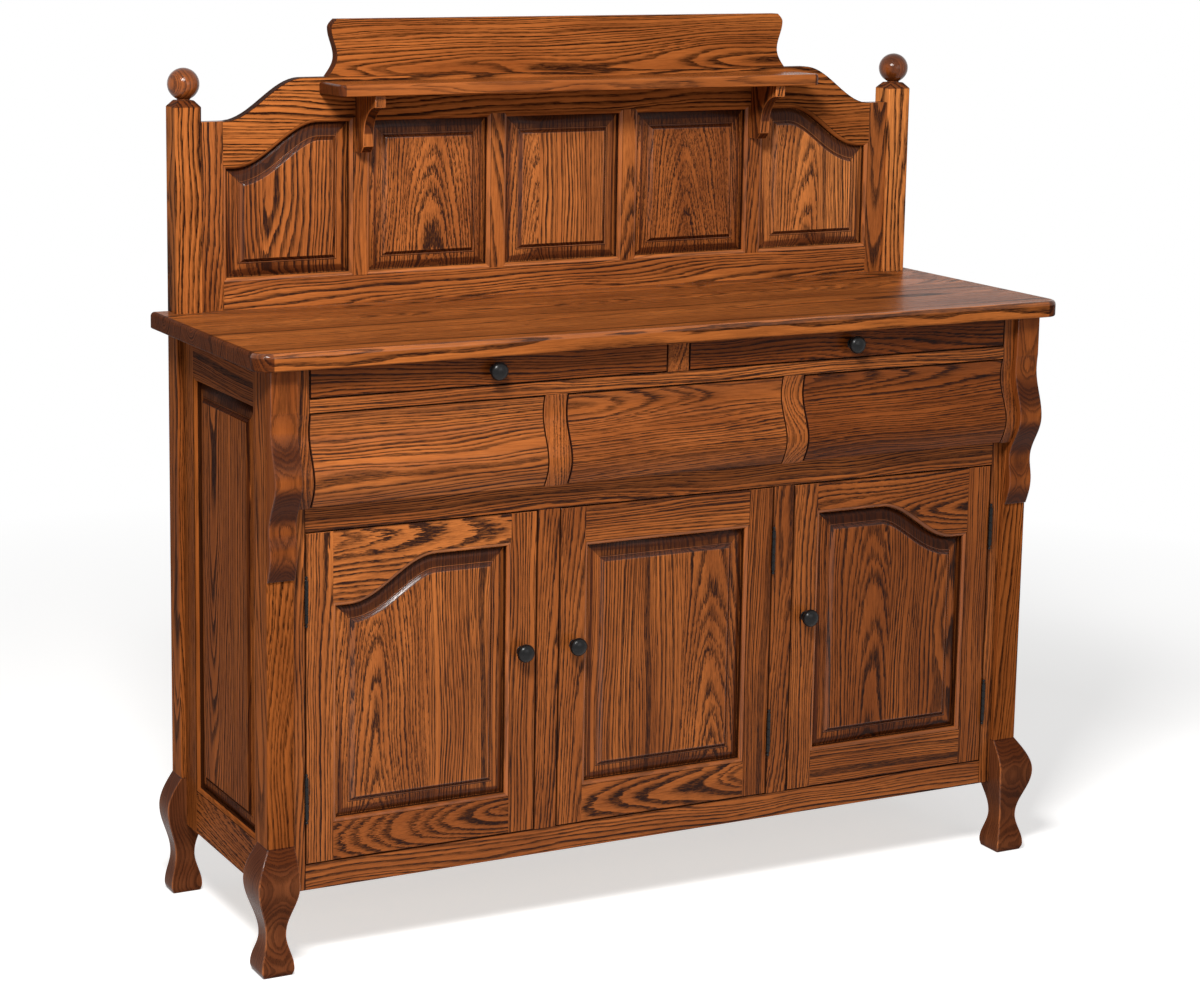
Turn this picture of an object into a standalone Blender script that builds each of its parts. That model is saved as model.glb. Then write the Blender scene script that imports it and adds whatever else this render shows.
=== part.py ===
"""Oak sideboard with three doors, five drawers and a panelled hutch back.

Metres, +Z up. The origin is on the floor under the middle of the counter, and the front faces -Y.
"""
import math
from collections import namedtuple

import bmesh
import bpy
from mathutils import Vector

# Clearances
SEAT = 0.0003
DOOR_GAP = 0.0020
DRAWER_GAP = 0.0020
BOX_SIDE_GAP = 0.0030
BOX_TOP_GAP = 0.0080

# Counter
COUNTER_WIDTH = 1.442
COUNTER_DEPTH = 0.467
COUNTER_HEIGHT = 0.965
COUNTER_THICK = 0.027
COUNTER_CORNER = 0.028
COUNTER_BACK_CORNER = 0.006
COUNTER_EASE = 0.007
COUNTER_LOWER_EASE = 0.003

# Case
SIDE_OVERHANG = 0.029
CASE_WIDTH = COUNTER_WIDTH - 2 * SIDE_OVERHANG
CASE_BOTTOM = 0.123
POST = 0.044
POST_EDGE = 0.0020
FRONT_OVERHANG = 0.021
BACK_OVERHANG = 0.004
POST_PROUD = 0.009
UPPER_STEP = 0.019
SIDE_INSET = 0.008
FRAME_THICK = 0.020
BACK_THICK = 0.006
BACK_INSET = 0.006
BOARD_THICK = 0.019

# Face frame, from the counter down and from the posts in
TOP_DRAWER_OPENING = 0.0495
DRAWER_RAIL = 0.021
MIDDLE_RAIL = 0.0405
BOTTOM_RAIL = 0.0405
STILE_STRIP = 0.0207
MULLION = 0.038
TOP_DIVIDER = 0.038

# Sleigh front from its top down: how far it stands before the upper frame, and the height of each stretch
SLEIGH_HOLLOW = 0.0045
SLEIGH_HOLLOW_RUN = 0.029
SLEIGH_SWELL = 0.0165
SLEIGH_SWELL_RUN = 0.0735
SLEIGH_FOOT = 0.0010
SLEIGH_FOOT_RUN = 0.041

# Scrolled corbel from the counter down: how far it stands before the post, and the height of each stretch
CORBEL_BLOCK_RUN = 0.065
CORBEL_HOLLOW = 0.0170
CORBEL_HOLLOW_RUN = 0.023
CORBEL_SWELL = 0.0360
CORBEL_SWELL_RUN = 0.082
CORBEL_NECK = 0.0095
CORBEL_NECK_RUN = 0.073
CORBEL_TOE = 0.0145
CORBEL_TOE_RUN = 0.037
CORBEL_TIP = 0.0030
CORBEL_TIP_RUN = 0.043

# Shaped legs from the floor up: bulge of the outer faces, pinch of the inner faces, height of each stretch
SOLE_BULGE = 0.012
SOLE_PINCH = 0.009
FOOT_BULGE = 0.016
FOOT_PINCH = 0.0065
FOOT_RISE = 0.012
ANKLE_BULGE = 0.0055
ANKLE_PINCH = 0.016
ANKLE_RISE = 0.051
KNEE_BULGE = 0.024
KNEE_RISE = 0.082
KNEE_TOP_RISE = 0.055

# Frame and panel work
STICKING = 0.005
GROOVE_FRONT = 0.008
GROOVE_WIDTH = 0.0065
GROOVE_DEPTH = 0.006
PANEL_FIELD_SETBACK = 0.002
PANEL_STEP = 0.0015
PANEL_MARGIN = 0.030
DOOR_STILE = 0.051
DOOR_BOTTOM_RAIL = 0.066
DOOR_TOP_RAIL = 0.064
ARCH_TOP_RAIL = 0.052
ARCH_RISE = 0.065
ARCH_LAND = 0.022
ARCH_FLAT = 0.120
SIDE_BOTTOM = 0.120
SIDE_BOTTOM_RAIL = 0.078
SIDE_TOP_RAIL = 0.072
SIDE_FRONT_STILE = 0.034
SIDE_BACK_STILE = 0.055

# Inside
SHELF_RISE = 0.2565
CLEAT_WIDTH = 0.014
CLEAT_HEIGHT = 0.025
GUIDE_HEIGHT = 0.016
BOX_BACK_GAP = 0.041
BOX_WALL = 0.012
BOX_FLOOR = 0.006
DRAWER_FRONT = 0.019

# Hutch, heights from the counter
HUTCH_POST_HEIGHT = 0.327
HUTCH_POST_NECK = 0.010
HUTCH_POST_NECK_HALF = 0.013
FINIAL_RADIUS = 0.026
FINIAL_NECK = 0.009
HUTCH_SETBACK = 0.0045
HUTCH_SHOULDER = 0.303
HUTCH_RISE = 0.066
HUTCH_OGEE_LAND = 0.040
HUTCH_OGEE_RUN = 0.135
HUTCH_STILE = 0.044
HUTCH_MULLION = 0.037
HUTCH_BOTTOM_RAIL = 0.053
HUTCH_TOP_RAIL = 0.072
HUTCH_ARCH_RISE = 0.070
HUTCH_ARCH_LAND = 0.014
HUTCH_ARCH_FLAT = 0.053
HUTCH_MARGIN = 0.030
HUTCH_PANELS = 5
CREST_INSET = 0.049
CREST_FLARE = 0.006
CREST_WAIST = 0.010
CREST_WAIST_RISE = 0.032
CREST_EAR_RISE = 0.046
CREST_TOP_RISE = 0.014
SHELF_PAST_CREST = 0.022
SHELF_DEPTH = 0.090
SHELF_THICK = 0.019
SHELF_DROP = 0.007
SHELF_CORNER = 0.010
BRACKET_SETBACK = 0.010
BRACKET_HEIGHT = 0.095
BRACKET_THICK = 0.018
BRACKET_NOSE = 0.019
BRACKET_LEG = 0.033
BRACKET_EASE = 0.011

# Hardware
KNOB_FROM_DOOR_TOP = 0.2215
KNOB_ROSETTE = 0.0085
KNOB_ROSETTE_THICK = 0.0016
KNOB_STEM = 0.0055
KNOB_WAIST = 0.0078
KNOB_RADIUS = 0.015
KNOB_LENGTH = 0.026
KNOB_BACK_ANGLE = math.radians(-50)
HINGE_RADIUS = 0.0032
HINGE_LENGTH = 0.066
HINGE_NECK = 0.0019
HINGE_TIP = 0.0070
HINGE_TIP_RADIUS = 0.00245
HINGE_LEAF_DEPTH = 0.018
HINGE_LEAF_INSET = 0.0033
HINGE_FROM_END = 0.104

# Resolution of curved work
ARCH_STEPS = 14
CURVE_STEPS = 7
EASE_STEPS = 4
TURN_STEPS = 20
SMOOTH_ANGLE = math.radians(40)
LEAST_CORNER = 0.0006
CUT_PAST = 0.001
MERGE_DISTANCE = 1e-6
SLOPE_STEP = 1e-5
SEARCH_STEPS = 30

# Finishes: linear colour, roughness, metallic
STAINED_OAK = (0.245, 0.072, 0.019), 0.34, 0.0
PALE_WOOD = (0.480, 0.300, 0.150), 0.55, 0.0
BLACK_METAL = (0.012, 0.012, 0.013), 0.38, 0.6

# Planes and heights that the pieces share
X_OUT = CASE_WIDTH / 2
X_IN = X_OUT - POST
X_SIDE = X_OUT - SIDE_INSET
X_SIDE_IN = X_SIDE - FRAME_THICK
X_OPEN = X_IN - STILE_STRIP
BAY = (2 * X_OPEN - 2 * MULLION) / 3
Y_COUNTER = -COUNTER_DEPTH / 2
Y_BLOCK = Y_COUNTER + FRONT_OVERHANG
Y_UPPER = Y_BLOCK + POST_PROUD
Y_LOWER = Y_UPPER + UPPER_STEP
Y_POST = Y_LOWER - POST_PROUD
Y_BACK = COUNTER_DEPTH / 2 - BACK_OVERHANG
Y_BACK_POST = Y_BACK - POST
Y_PANEL_BACK = Y_BACK - BACK_INSET - BACK_THICK
Y_HUTCH = Y_BACK_POST + HUTCH_SETBACK
Z_CASE = COUNTER_HEIGHT - COUNTER_THICK
Z_DRAWER_RAIL = Z_CASE - TOP_DRAWER_OPENING
Z_SLEIGH_TOP = Z_DRAWER_RAIL - DRAWER_RAIL
SLEIGH_OPENING = SLEIGH_HOLLOW_RUN + SLEIGH_SWELL_RUN + SLEIGH_FOOT_RUN
Z_SLEIGH_BOTTOM = Z_SLEIGH_TOP - SLEIGH_OPENING
Z_DOOR_TOP = Z_SLEIGH_BOTTOM - MIDDLE_RAIL
Z_DOOR_BOTTOM = CASE_BOTTOM + BOTTOM_RAIL
Z_SHELF = Z_DOOR_BOTTOM + SHELF_RISE
Z_HUTCH_TOP = COUNTER_HEIGHT + HUTCH_SHOULDER + HUTCH_RISE
X_HUTCH_TOP = X_IN - HUTCH_OGEE_LAND - HUTCH_OGEE_RUN
X_CREST = X_HUTCH_TOP - CREST_INSET
BAY_CENTRES = (-BAY - MULLION, 0.0, BAY + MULLION)
TOP_BAY = X_OPEN - TOP_DIVIDER / 2

Window = namedtuple("Window", "x0 x1 z0 z1 rise land run high")


def ease(t):
    """Half-cosine blend that starts and ends level."""
    return 0.5 - 0.5 * math.cos(math.pi * t)


def rising(t):
    """Quarter-sine blend that starts steep and ends level."""
    return math.sin(0.5 * math.pi * t)


def falling(t):
    """Quarter-cosine blend that starts level and ends steep."""
    return 1.0 - math.cos(0.5 * math.pi * t)


def spread(start, end, steps):
    """Evenly spaced numbers from start to end."""
    return [start + (end - start) * i / steps for i in range(steps + 1)]


def stations_from(start, *stretches):
    """Stations of (position, value, blend) from a start value and stretches of (length, end value, blend)."""
    stations = [(0.0, start, ease)]
    for length, value, blend in stretches:
        stations.append((stations[-1][0] + length, value, blend))
    return stations


def blend_along(stations, position):
    """Value at a position on stations, each with the blend that leads into it."""
    for (p0, v0, _), (p1, v1, blend) in zip(stations, stations[1:]):
        if position <= p1:
            return v0 + (v1 - v0) * blend((position - p0) / (p1 - p0))
    return stations[-1][1]


def positions_along(stations):
    """Positions on stations, evenly spaced within each stretch."""
    positions = [stations[0][0]]
    for (p0, _, _), (p1, _, _) in zip(stations, stations[1:]):
        positions += spread(p0, p1, CURVE_STEPS)[1:]
    return positions


def finish(obj, look):
    """Give an object its own Principled material."""
    colour, roughness, metallic = look
    material = bpy.data.materials.new(obj.name + "_finish")
    material.use_nodes = True
    shader = material.node_tree.nodes["Principled BSDF"]
    shader.inputs["Base Color"].default_value = (*colour, 1.0)
    shader.inputs["Roughness"].default_value = roughness
    shader.inputs["Metallic"].default_value = metallic
    obj.data.materials.append(material)


def add_object(name, bm, look=STAINED_OAK, origin=(0.0, 0.0, 0.0), smooth=False):
    """Turn a bmesh in world coordinates into an object with its origin at the given point."""
    bmesh.ops.recalc_face_normals(bm, faces=bm.faces[:])
    bmesh.ops.translate(bm, verts=bm.verts[:], vec=-Vector(origin))
    mesh = bpy.data.meshes.new(name)
    bm.to_mesh(mesh)
    bm.free()
    if smooth:
        mesh.shade_smooth()
        mesh.set_sharp_from_angle(angle=SMOOTH_ANGLE)
    obj = bpy.data.objects.new(name, mesh)
    obj.location = origin
    bpy.context.collection.objects.link(obj)
    finish(obj, look)
    return obj


def loft_into(bm, loops):
    """Skin a row of loops of equal length and close both ends."""
    rings = [[bm.verts.new(point) for point in loop] for loop in loops]
    count = len(rings[0])
    for a, b in zip(rings, rings[1:]):
        for i in range(count):
            j = (i + 1) % count
            bm.faces.new((a[i], a[j], b[j], b[i]))
    bm.faces.new(rings[0])
    bm.faces.new(rings[-1])


def loft(name, loops, **options):
    bm = bmesh.new()
    loft_into(bm, loops)
    return add_object(name, bm, **options)


def extrude(name, outline, to_start, to_end, **options):
    """Extrude a flat outline between two mappings of its points."""
    return loft(name, [[to_start(p) for p in outline], [to_end(p) for p in outline]], **options)


def extrude_x(name, outline_yz, x0, x1, **options):
    return extrude(name, outline_yz, lambda p: (x0, *p), lambda p: (x1, *p), **options)


def extrude_y(name, outline_xz, y0, y1, **options):
    return extrude(name, outline_xz, lambda p: (p[0], y0, p[1]), lambda p: (p[0], y1, p[1]), **options)


def extrude_z(name, outline_xy, z0, z1, **options):
    return extrude(name, outline_xy, lambda p: (*p, z0), lambda p: (*p, z1), **options)


def rectangle(a0, a1, b0, b1):
    return [(a0, b0), (a1, b0), (a1, b1), (a0, b1)]


def box_into(bm, x0, x1, y0, y1, z0, z1):
    loft_into(bm, [[(*p, z) for p in rectangle(x0, x1, y0, y1)] for z in (z0, z1)])


def boolean(obj, bm, name, operation):
    """Cut or join an object with a hidden helper."""
    helper = add_object(name, bm)
    helper.hide_render = True
    helper.display_type = "WIRE"
    modifier = obj.modifiers.new(name, "BOOLEAN")
    modifier.operation = operation
    modifier.solver = "EXACT"
    modifier.object = helper


def turned(name, profile, centre, axis, look, origin=None):
    """Spin a profile of (radius, distance along the axis) about an axis through the centre."""
    axis = Vector(axis)
    centre = Vector(centre)
    side = axis.orthogonal().normalized()
    bm = bmesh.new()
    verts = [bm.verts.new(centre + side * radius + axis * along) for radius, along in profile]
    edges = [bm.edges.new(pair) for pair in zip(verts, verts[1:])]
    bmesh.ops.spin(bm, geom=verts + edges, cent=centre, axis=axis, angle=2 * math.pi, steps=TURN_STEPS)
    bmesh.ops.remove_doubles(bm, verts=bm.verts[:], dist=MERGE_DISTANCE)
    return add_object(name, bm, look=look, origin=origin or centre, smooth=True)


def rounded_rectangle(half, y0, y1, front, back, inset=0.0):
    """Plan outline about x = 0, moved in by the inset, with a radius for the front and the back corners."""
    front = max(front - inset, LEAST_CORNER)
    back = max(back - inset, LEAST_CORNER)
    x = half - inset
    right = []
    for centre, start, radius in (((x - front, y0 + inset + front), -math.pi / 2, front),
                                  ((x - back, y1 - inset - back), 0.0, back)):
        for angle in spread(start, start + math.pi / 2, CURVE_STEPS):
            right.append((centre[0] + radius * math.cos(angle), centre[1] + radius * math.sin(angle)))
    return right + [(-px, py) for px, py in reversed(right)]


# Frame and panel work


def arch_height(window, x):
    """Top edge of a window: level, or an ogee that climbs towards one side."""
    if window.high == 0:
        return window.z1
    start = x - window.x0 if window.high > 0 else window.x1 - x
    t = min(max((start - window.land) / window.run, 0.0), 1.0)
    return window.z1 - window.rise * (1.0 - ease(t))


def inset_arch_height(window, x, inset):
    """Top edge moved inwards square to itself, read at the given x."""
    low = x - abs(inset) - SLOPE_STEP
    high = x + abs(inset) + SLOPE_STEP
    for _ in range(SEARCH_STEPS):
        middle = (low + high) / 2
        climb = arch_height(window, middle + SLOPE_STEP) - arch_height(window, middle - SLOPE_STEP)
        slope = climb / (2 * SLOPE_STEP)
        stretch = math.hypot(1.0, slope)
        if middle + inset * slope / stretch < x:
            low = middle
        else:
            high = middle
    return arch_height(window, middle) - inset / stretch


def window_loop(window, inset):
    """Outline of a window, moved in (or out, if negative) from its edge."""
    x0 = window.x0 + inset
    x1 = window.x1 - inset
    z0 = window.z0 + inset
    steps = ARCH_STEPS if window.high else 1
    top = [(x, inset_arch_height(window, x, inset)) for x in spread(x1, x0, steps)]
    return [(x0, z0), (x1, z0)] + top


def window_cut(bm, window, place):
    """Cutter for a moulded window with a groove for its panel."""
    groove_back = GROOVE_FRONT + GROOVE_WIDTH
    stages = ((-CUT_PAST, -STICKING - CUT_PAST), (STICKING, 0.0), (GROOVE_FRONT, 0.0),
              (GROOVE_FRONT, -GROOVE_DEPTH), (groove_back, -GROOVE_DEPTH), (groove_back, 0.0),
              (FRAME_THICK + CUT_PAST, 0.0))
    loft_into(bm, [[place(p, depth) for p in window_loop(window, inset)] for depth, inset in stages])


def raised_panel(name, window, margin, place, origin=(0.0, 0.0, 0.0)):
    """Raised panel whose tongue sits in the window's groove."""
    tongue_front = GROOVE_FRONT + SEAT
    tongue_back = GROOVE_FRONT + GROOVE_WIDTH - SEAT
    tongue = -GROOVE_DEPTH + SEAT
    stages = ((tongue_back, tongue), (tongue_front, tongue), (tongue_front, SEAT),
              (PANEL_FIELD_SETBACK + PANEL_STEP, margin - PANEL_STEP), (PANEL_FIELD_SETBACK, margin))
    loops = [[place(p, depth) for p in window_loop(window, inset)] for depth, inset in stages]
    return loft(name, loops, origin=origin)


# Counter and case


def build_counter():
    levels = [(Z_CASE, COUNTER_LOWER_EASE), (Z_CASE + COUNTER_LOWER_EASE, 0.0)]
    for angle in spread(0.0, math.pi / 2, EASE_STEPS):
        drop = COUNTER_EASE * (1 - math.sin(angle))
        levels.append((COUNTER_HEIGHT - drop, COUNTER_EASE * (1 - math.cos(angle))))
    loops = []
    for z, inset in levels:
        outline = rounded_rectangle(COUNTER_WIDTH / 2, Y_COUNTER, -Y_COUNTER,
                                    COUNTER_CORNER, COUNTER_BACK_CORNER, inset)
        loops.append([(*p, z) for p in outline])
    loft("counter_top", loops)


def chamfered(x0, x1, y0, y1):
    """Square outline with its four corners cut off."""
    e = POST_EDGE
    return [(x0 + e, y0), (x1 - e, y0), (x1, y0 + e), (x1, y1 - e),
            (x1 - e, y1), (x0 + e, y1), (x0, y1 - e), (x0, y0 + e)]


def build_leg_post(name, side, front):
    """Corner post with its shaped leg; the back posts stay flat against the wall."""
    bulges = stations_from(SOLE_BULGE, (FOOT_RISE, FOOT_BULGE, rising), (ANKLE_RISE, ANKLE_BULGE, ease),
                           (KNEE_RISE, KNEE_BULGE, ease), (KNEE_TOP_RISE, 0.0, falling))
    pinches = stations_from(SOLE_PINCH, (FOOT_RISE, FOOT_PINCH, rising), (ANKLE_RISE, ANKLE_PINCH, ease),
                            (KNEE_RISE, 0.0, ease))
    loops = []
    for z in positions_along(bulges) + [Z_CASE - SEAT]:
        bulge = blend_along(bulges, z)
        pinch = blend_along(pinches, z)
        x_outer = X_OUT + bulge
        x_inner = X_IN + pinch
        y0 = Y_POST - bulge if front else Y_BACK_POST + pinch
        y1 = Y_POST + POST - pinch if front else Y_BACK
        outline = chamfered(min(side * x_outer, side * x_inner), max(side * x_outer, side * x_inner), y0, y1)
        loops.append([(*p, z) for p in outline])
    loft(name, loops)


def build_corbel(name, side):
    """Scrolled block on the front of a post, under the counter's corner."""
    scroll = stations_from(Y_POST - Y_BLOCK, (CORBEL_HOLLOW_RUN, CORBEL_HOLLOW, ease),
                           (CORBEL_SWELL_RUN, CORBEL_SWELL, ease), (CORBEL_NECK_RUN, CORBEL_NECK, ease),
                           (CORBEL_TOE_RUN, CORBEL_TOE, ease), (CORBEL_TIP_RUN, CORBEL_TIP, falling))
    top = Z_CASE - SEAT
    z_scroll = Z_CASE - CORBEL_BLOCK_RUN
    back = Y_POST - SEAT
    face = [(Y_POST - blend_along(scroll, down), z_scroll - down) for down in positions_along(scroll)]
    outline = [(Y_BLOCK, top)] + face + [(back, face[-1][1]), (back, top)]
    extrude_x(name, outline, side * X_IN, side * X_OUT)


def sleigh_face(gap):
    """Points (y, z) of the S-shaped face, from the gap below the opening's top to the gap above its foot."""
    curve = stations_from(0.0, (SLEIGH_HOLLOW_RUN, -SLEIGH_HOLLOW, rising),
                          (SLEIGH_SWELL_RUN, SLEIGH_SWELL, ease), (SLEIGH_FOOT_RUN, SLEIGH_FOOT, falling))
    downs = [min(max(down, gap), SLEIGH_OPENING - gap) for down in positions_along(curve)]
    return [(Y_UPPER - blend_along(curve, down), Z_SLEIGH_TOP - down) for down in downs]


def build_drawer_frame():
    """Upper face frame, stepped forward, with the S profile on its lower half."""
    back = Y_UPPER + FRAME_THICK
    top = Z_CASE - SEAT
    outline = [(back, top), (Y_UPPER, top)] + sleigh_face(0.0) + [(back, Z_SLEIGH_BOTTOM)]
    frame = extrude_x("drawer_frame", outline, -X_IN + SEAT, X_IN - SEAT)
    bm = bmesh.new()
    past = SLEIGH_SWELL + FRAME_THICK
    for side in (-1, 1):
        inner, outer = sorted((side * TOP_DIVIDER / 2, side * X_OPEN))
        box_into(bm, inner, outer, Y_UPPER - past, back + past, Z_DRAWER_RAIL, Z_CASE + past)
    for centre in BAY_CENTRES:
        box_into(bm, centre - BAY / 2, centre + BAY / 2, Y_UPPER - past, back + past,
                 Z_SLEIGH_BOTTOM - past, Z_SLEIGH_TOP)
    boolean(frame, bm, "drawer_frame_openings", "DIFFERENCE")


def build_face_frame():
    outline = rectangle(-X_IN + SEAT, X_IN - SEAT, CASE_BOTTOM, Z_SLEIGH_BOTTOM - SEAT)
    frame = extrude_y("face_frame", outline, Y_LOWER, Y_LOWER + FRAME_THICK)
    bm = bmesh.new()
    for centre in BAY_CENTRES:
        box_into(bm, centre - BAY / 2, centre + BAY / 2, Y_LOWER - FRAME_THICK, Y_LOWER + 2 * FRAME_THICK,
                 Z_DOOR_BOTTOM, Z_DOOR_TOP)
    boolean(frame, bm, "face_frame_openings", "DIFFERENCE")


def build_side(name, side):
    """Framed side between two posts, with its raised panel and the cleat that carries the shelf."""
    y0 = Y_POST + POST + SEAT
    y1 = Y_BACK_POST - SEAT
    outline = rectangle(y0, y1, SIDE_BOTTOM, Z_CASE - SEAT)
    frame = extrude_x("side_frame_" + name, outline, side * X_SIDE, side * X_SIDE_IN)
    window = Window(y0 + SIDE_FRONT_STILE, y1 - SIDE_BACK_STILE, SIDE_BOTTOM + SIDE_BOTTOM_RAIL,
                    Z_CASE - SIDE_TOP_RAIL, 0.0, 0.0, 0.0, 0)

    def place(point, depth):
        return (side * (X_SIDE - depth), *point)

    bm = bmesh.new()
    window_cut(bm, window, place)
    boolean(frame, bm, "side_window_" + name, "DIFFERENCE")
    bm = bmesh.new()
    inner, outer = sorted((side * (X_SIDE_IN - CLEAT_WIDTH), side * (X_SIDE_IN + GROOVE_WIDTH / 2)))
    top = Z_SHELF - BOARD_THICK - SEAT
    bottom = top - CLEAT_HEIGHT
    for start, end in ((y0, window.x0), (window.x1, y1)):
        box_into(bm, inner, outer, start + SEAT, end - SEAT, bottom, top)
    boolean(frame, bm, "side_cleats_" + name, "UNION")
    raised_panel("side_panel_" + name, window, PANEL_MARGIN, place)


def notched_board(y0, y1):
    """Plan of a board between the side frames, cut round the four posts."""
    x = X_SIDE_IN - SEAT
    notch = X_IN - SEAT
    front = Y_POST + POST + SEAT
    back = Y_BACK_POST - SEAT
    right = [(notch, y0), (notch, front), (x, front), (x, back), (notch, back), (notch, y1)]
    return right + [(-px, py) for px, py in reversed(right)]


def build_inner_boards():
    y_back = Y_PANEL_BACK - SEAT
    behind_lower = Y_LOWER + FRAME_THICK + SEAT
    behind_upper = Y_UPPER + FRAME_THICK + SEAT
    lower_frame_top = Z_SLEIGH_BOTTOM - SEAT
    extrude_z("bottom_board", notched_board(behind_lower, y_back),
              Z_DOOR_BOTTOM - BOARD_THICK, Z_DOOR_BOTTOM, look=PALE_WOOD)
    extrude_z("cupboard_shelf", notched_board(behind_lower, y_back),
              Z_SHELF - BOARD_THICK, Z_SHELF, look=PALE_WOOD)
    end_guides = [(-X_SIDE_IN + CLEAT_WIDTH, -X_OPEN), (X_OPEN, X_SIDE_IN - CLEAT_WIDTH)]
    sleigh_guides = end_guides + [(-BAY / 2 - MULLION, -BAY / 2), (BAY / 2, BAY / 2 + MULLION)]
    top_guides = end_guides + [(-TOP_DIVIDER / 2, TOP_DIVIDER / 2)]
    guide_front = Y_POST + POST + SEAT
    guide_back = Y_BACK_POST - SEAT
    webs = (("sleigh_drawer_web", behind_lower, lower_frame_top, sleigh_guides),
            ("top_drawer_web", behind_upper, Z_DRAWER_RAIL, top_guides))
    for name, y0, top, guides in webs:
        web = extrude_z(name, notched_board(y0, y_back), top - BOARD_THICK, top, look=PALE_WOOD)
        bm = bmesh.new()
        for x0, x1 in guides:
            box_into(bm, x0, x1, guide_front, guide_back, top - BOARD_THICK / 2, top + GUIDE_HEIGHT)
        boolean(web, bm, name + "_guides", "UNION")
    extrude_y("back_panel", rectangle(-X_IN + SEAT, X_IN - SEAT, CASE_BOTTOM, Z_CASE - SEAT),
              Y_PANEL_BACK, Y_PANEL_BACK + BACK_THICK, look=PALE_WOOD)


# Drawers and doors


def build_knob(name, x, y, z, origin):
    """Turned knob whose axis points forward from the face it sits on."""
    profile = [(0.0, 0.0), (KNOB_ROSETTE, 0.0), (KNOB_ROSETTE, KNOB_ROSETTE_THICK), (KNOB_STEM, KNOB_WAIST)]
    head = KNOB_LENGTH - KNOB_WAIST
    for angle in spread(KNOB_BACK_ANGLE, math.pi / 2, CURVE_STEPS)[:-1]:
        profile.append((KNOB_RADIUS * math.cos(angle), KNOB_WAIST + head * (1.0 + math.sin(angle)) / 2))
    profile.append((0.0, KNOB_LENGTH))
    turned(name, profile, (x, y - SEAT, z), (0.0, -1.0, 0.0), BLACK_METAL, origin)


def build_drawer_box(name, x0, x1, y0, z0, z1, origin):
    """Open box that runs on the web below it."""
    y1 = Y_PANEL_BACK - BOX_BACK_GAP
    outer = rectangle(x0, x1, y0, y1)
    inner = rectangle(x0 + BOX_WALL, x1 - BOX_WALL, y0 + BOX_WALL, y1 - BOX_WALL)
    levels = ((outer, z0), (outer, z1), (inner, z1), (inner, z0 + BOX_FLOOR))
    loft(name, [[(*p, z) for p in outline] for outline, z in levels], look=PALE_WOOD, origin=origin)


def build_top_drawer(name, side):
    centre = side * (TOP_DIVIDER + TOP_BAY) / 2
    half = TOP_BAY / 2 - DRAWER_GAP
    z0 = Z_DRAWER_RAIL + DRAWER_GAP
    z1 = Z_CASE - DRAWER_GAP
    origin = (centre, Y_UPPER, (z0 + z1) / 2)
    extrude_y("top_drawer_front_" + name, rectangle(centre - half, centre + half, z0, z1),
              Y_UPPER, Y_UPPER + DRAWER_FRONT, origin=origin)
    box_half = TOP_BAY / 2 - BOX_SIDE_GAP
    build_drawer_box("top_drawer_box_" + name, centre - box_half, centre + box_half,
                     Y_UPPER + DRAWER_FRONT + SEAT, Z_DRAWER_RAIL + SEAT, Z_CASE - BOX_TOP_GAP, origin)
    build_knob("top_drawer_knob_" + name, centre, Y_UPPER, (z0 + z1) / 2, origin)


def build_sleigh_drawer(name, centre):
    half = BAY / 2 - DRAWER_GAP
    back = Y_UPPER + FRAME_THICK
    face = sleigh_face(DRAWER_GAP)
    outline = [(back, face[0][1])] + face + [(back, face[-1][1])]
    origin = (centre, Y_UPPER, (Z_SLEIGH_TOP + Z_SLEIGH_BOTTOM) / 2)
    extrude_x("sleigh_drawer_front_" + name, outline, centre - half, centre + half, origin=origin)
    box_half = BAY / 2 - BOX_SIDE_GAP
    web_top = Z_SLEIGH_BOTTOM - SEAT
    build_drawer_box("sleigh_drawer_box_" + name, centre - box_half, centre + box_half,
                     back + SEAT, web_top + SEAT, Z_SLEIGH_TOP - BOX_TOP_GAP - BOARD_THICK, origin)


def build_door(name, centre, arch, hinge_side):
    """Inset door with a raised panel, a knob on its free stile and two hinges on the other."""
    x0 = centre - BAY / 2 + DOOR_GAP
    x1 = centre + BAY / 2 - DOOR_GAP
    z0 = Z_DOOR_BOTTOM + DOOR_GAP
    z1 = Z_DOOR_TOP - DOOR_GAP
    pin_x = centre + hinge_side * (BAY - DOOR_GAP) / 2
    pin_y = Y_LOWER - HINGE_RADIUS - SEAT
    origin = (pin_x, pin_y, (z0 + z1) / 2)
    frame = extrude_y("door_frame_" + name, rectangle(x0, x1, z0, z1),
                      Y_LOWER, Y_LOWER + FRAME_THICK, origin=origin)
    top_rail = ARCH_TOP_RAIL if arch else DOOR_TOP_RAIL
    arch_run = x1 - x0 - 2 * DOOR_STILE - ARCH_LAND - ARCH_FLAT
    window = Window(x0 + DOOR_STILE, x1 - DOOR_STILE, z0 + DOOR_BOTTOM_RAIL, z1 - top_rail,
                    ARCH_RISE, ARCH_LAND, arch_run, arch)

    def place(point, depth):
        return (point[0], Y_LOWER + depth, point[1])

    bm = bmesh.new()
    window_cut(bm, window, place)
    boolean(frame, bm, "door_window_" + name, "DIFFERENCE")
    raised_panel("door_panel_" + name, window, PANEL_MARGIN, place, origin)
    knob_x = x0 + DOOR_STILE / 2 if hinge_side > 0 else x1 - DOOR_STILE / 2
    build_knob("door_knob_" + name, knob_x, Y_LOWER, z1 - KNOB_FROM_DOOR_TOP, origin)
    for level, z in (("upper", z1 - HINGE_FROM_END), ("lower", z0 + HINGE_FROM_END)):
        build_hinge("hinge_" + name + "_" + level, pin_x, pin_y, z)


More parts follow.
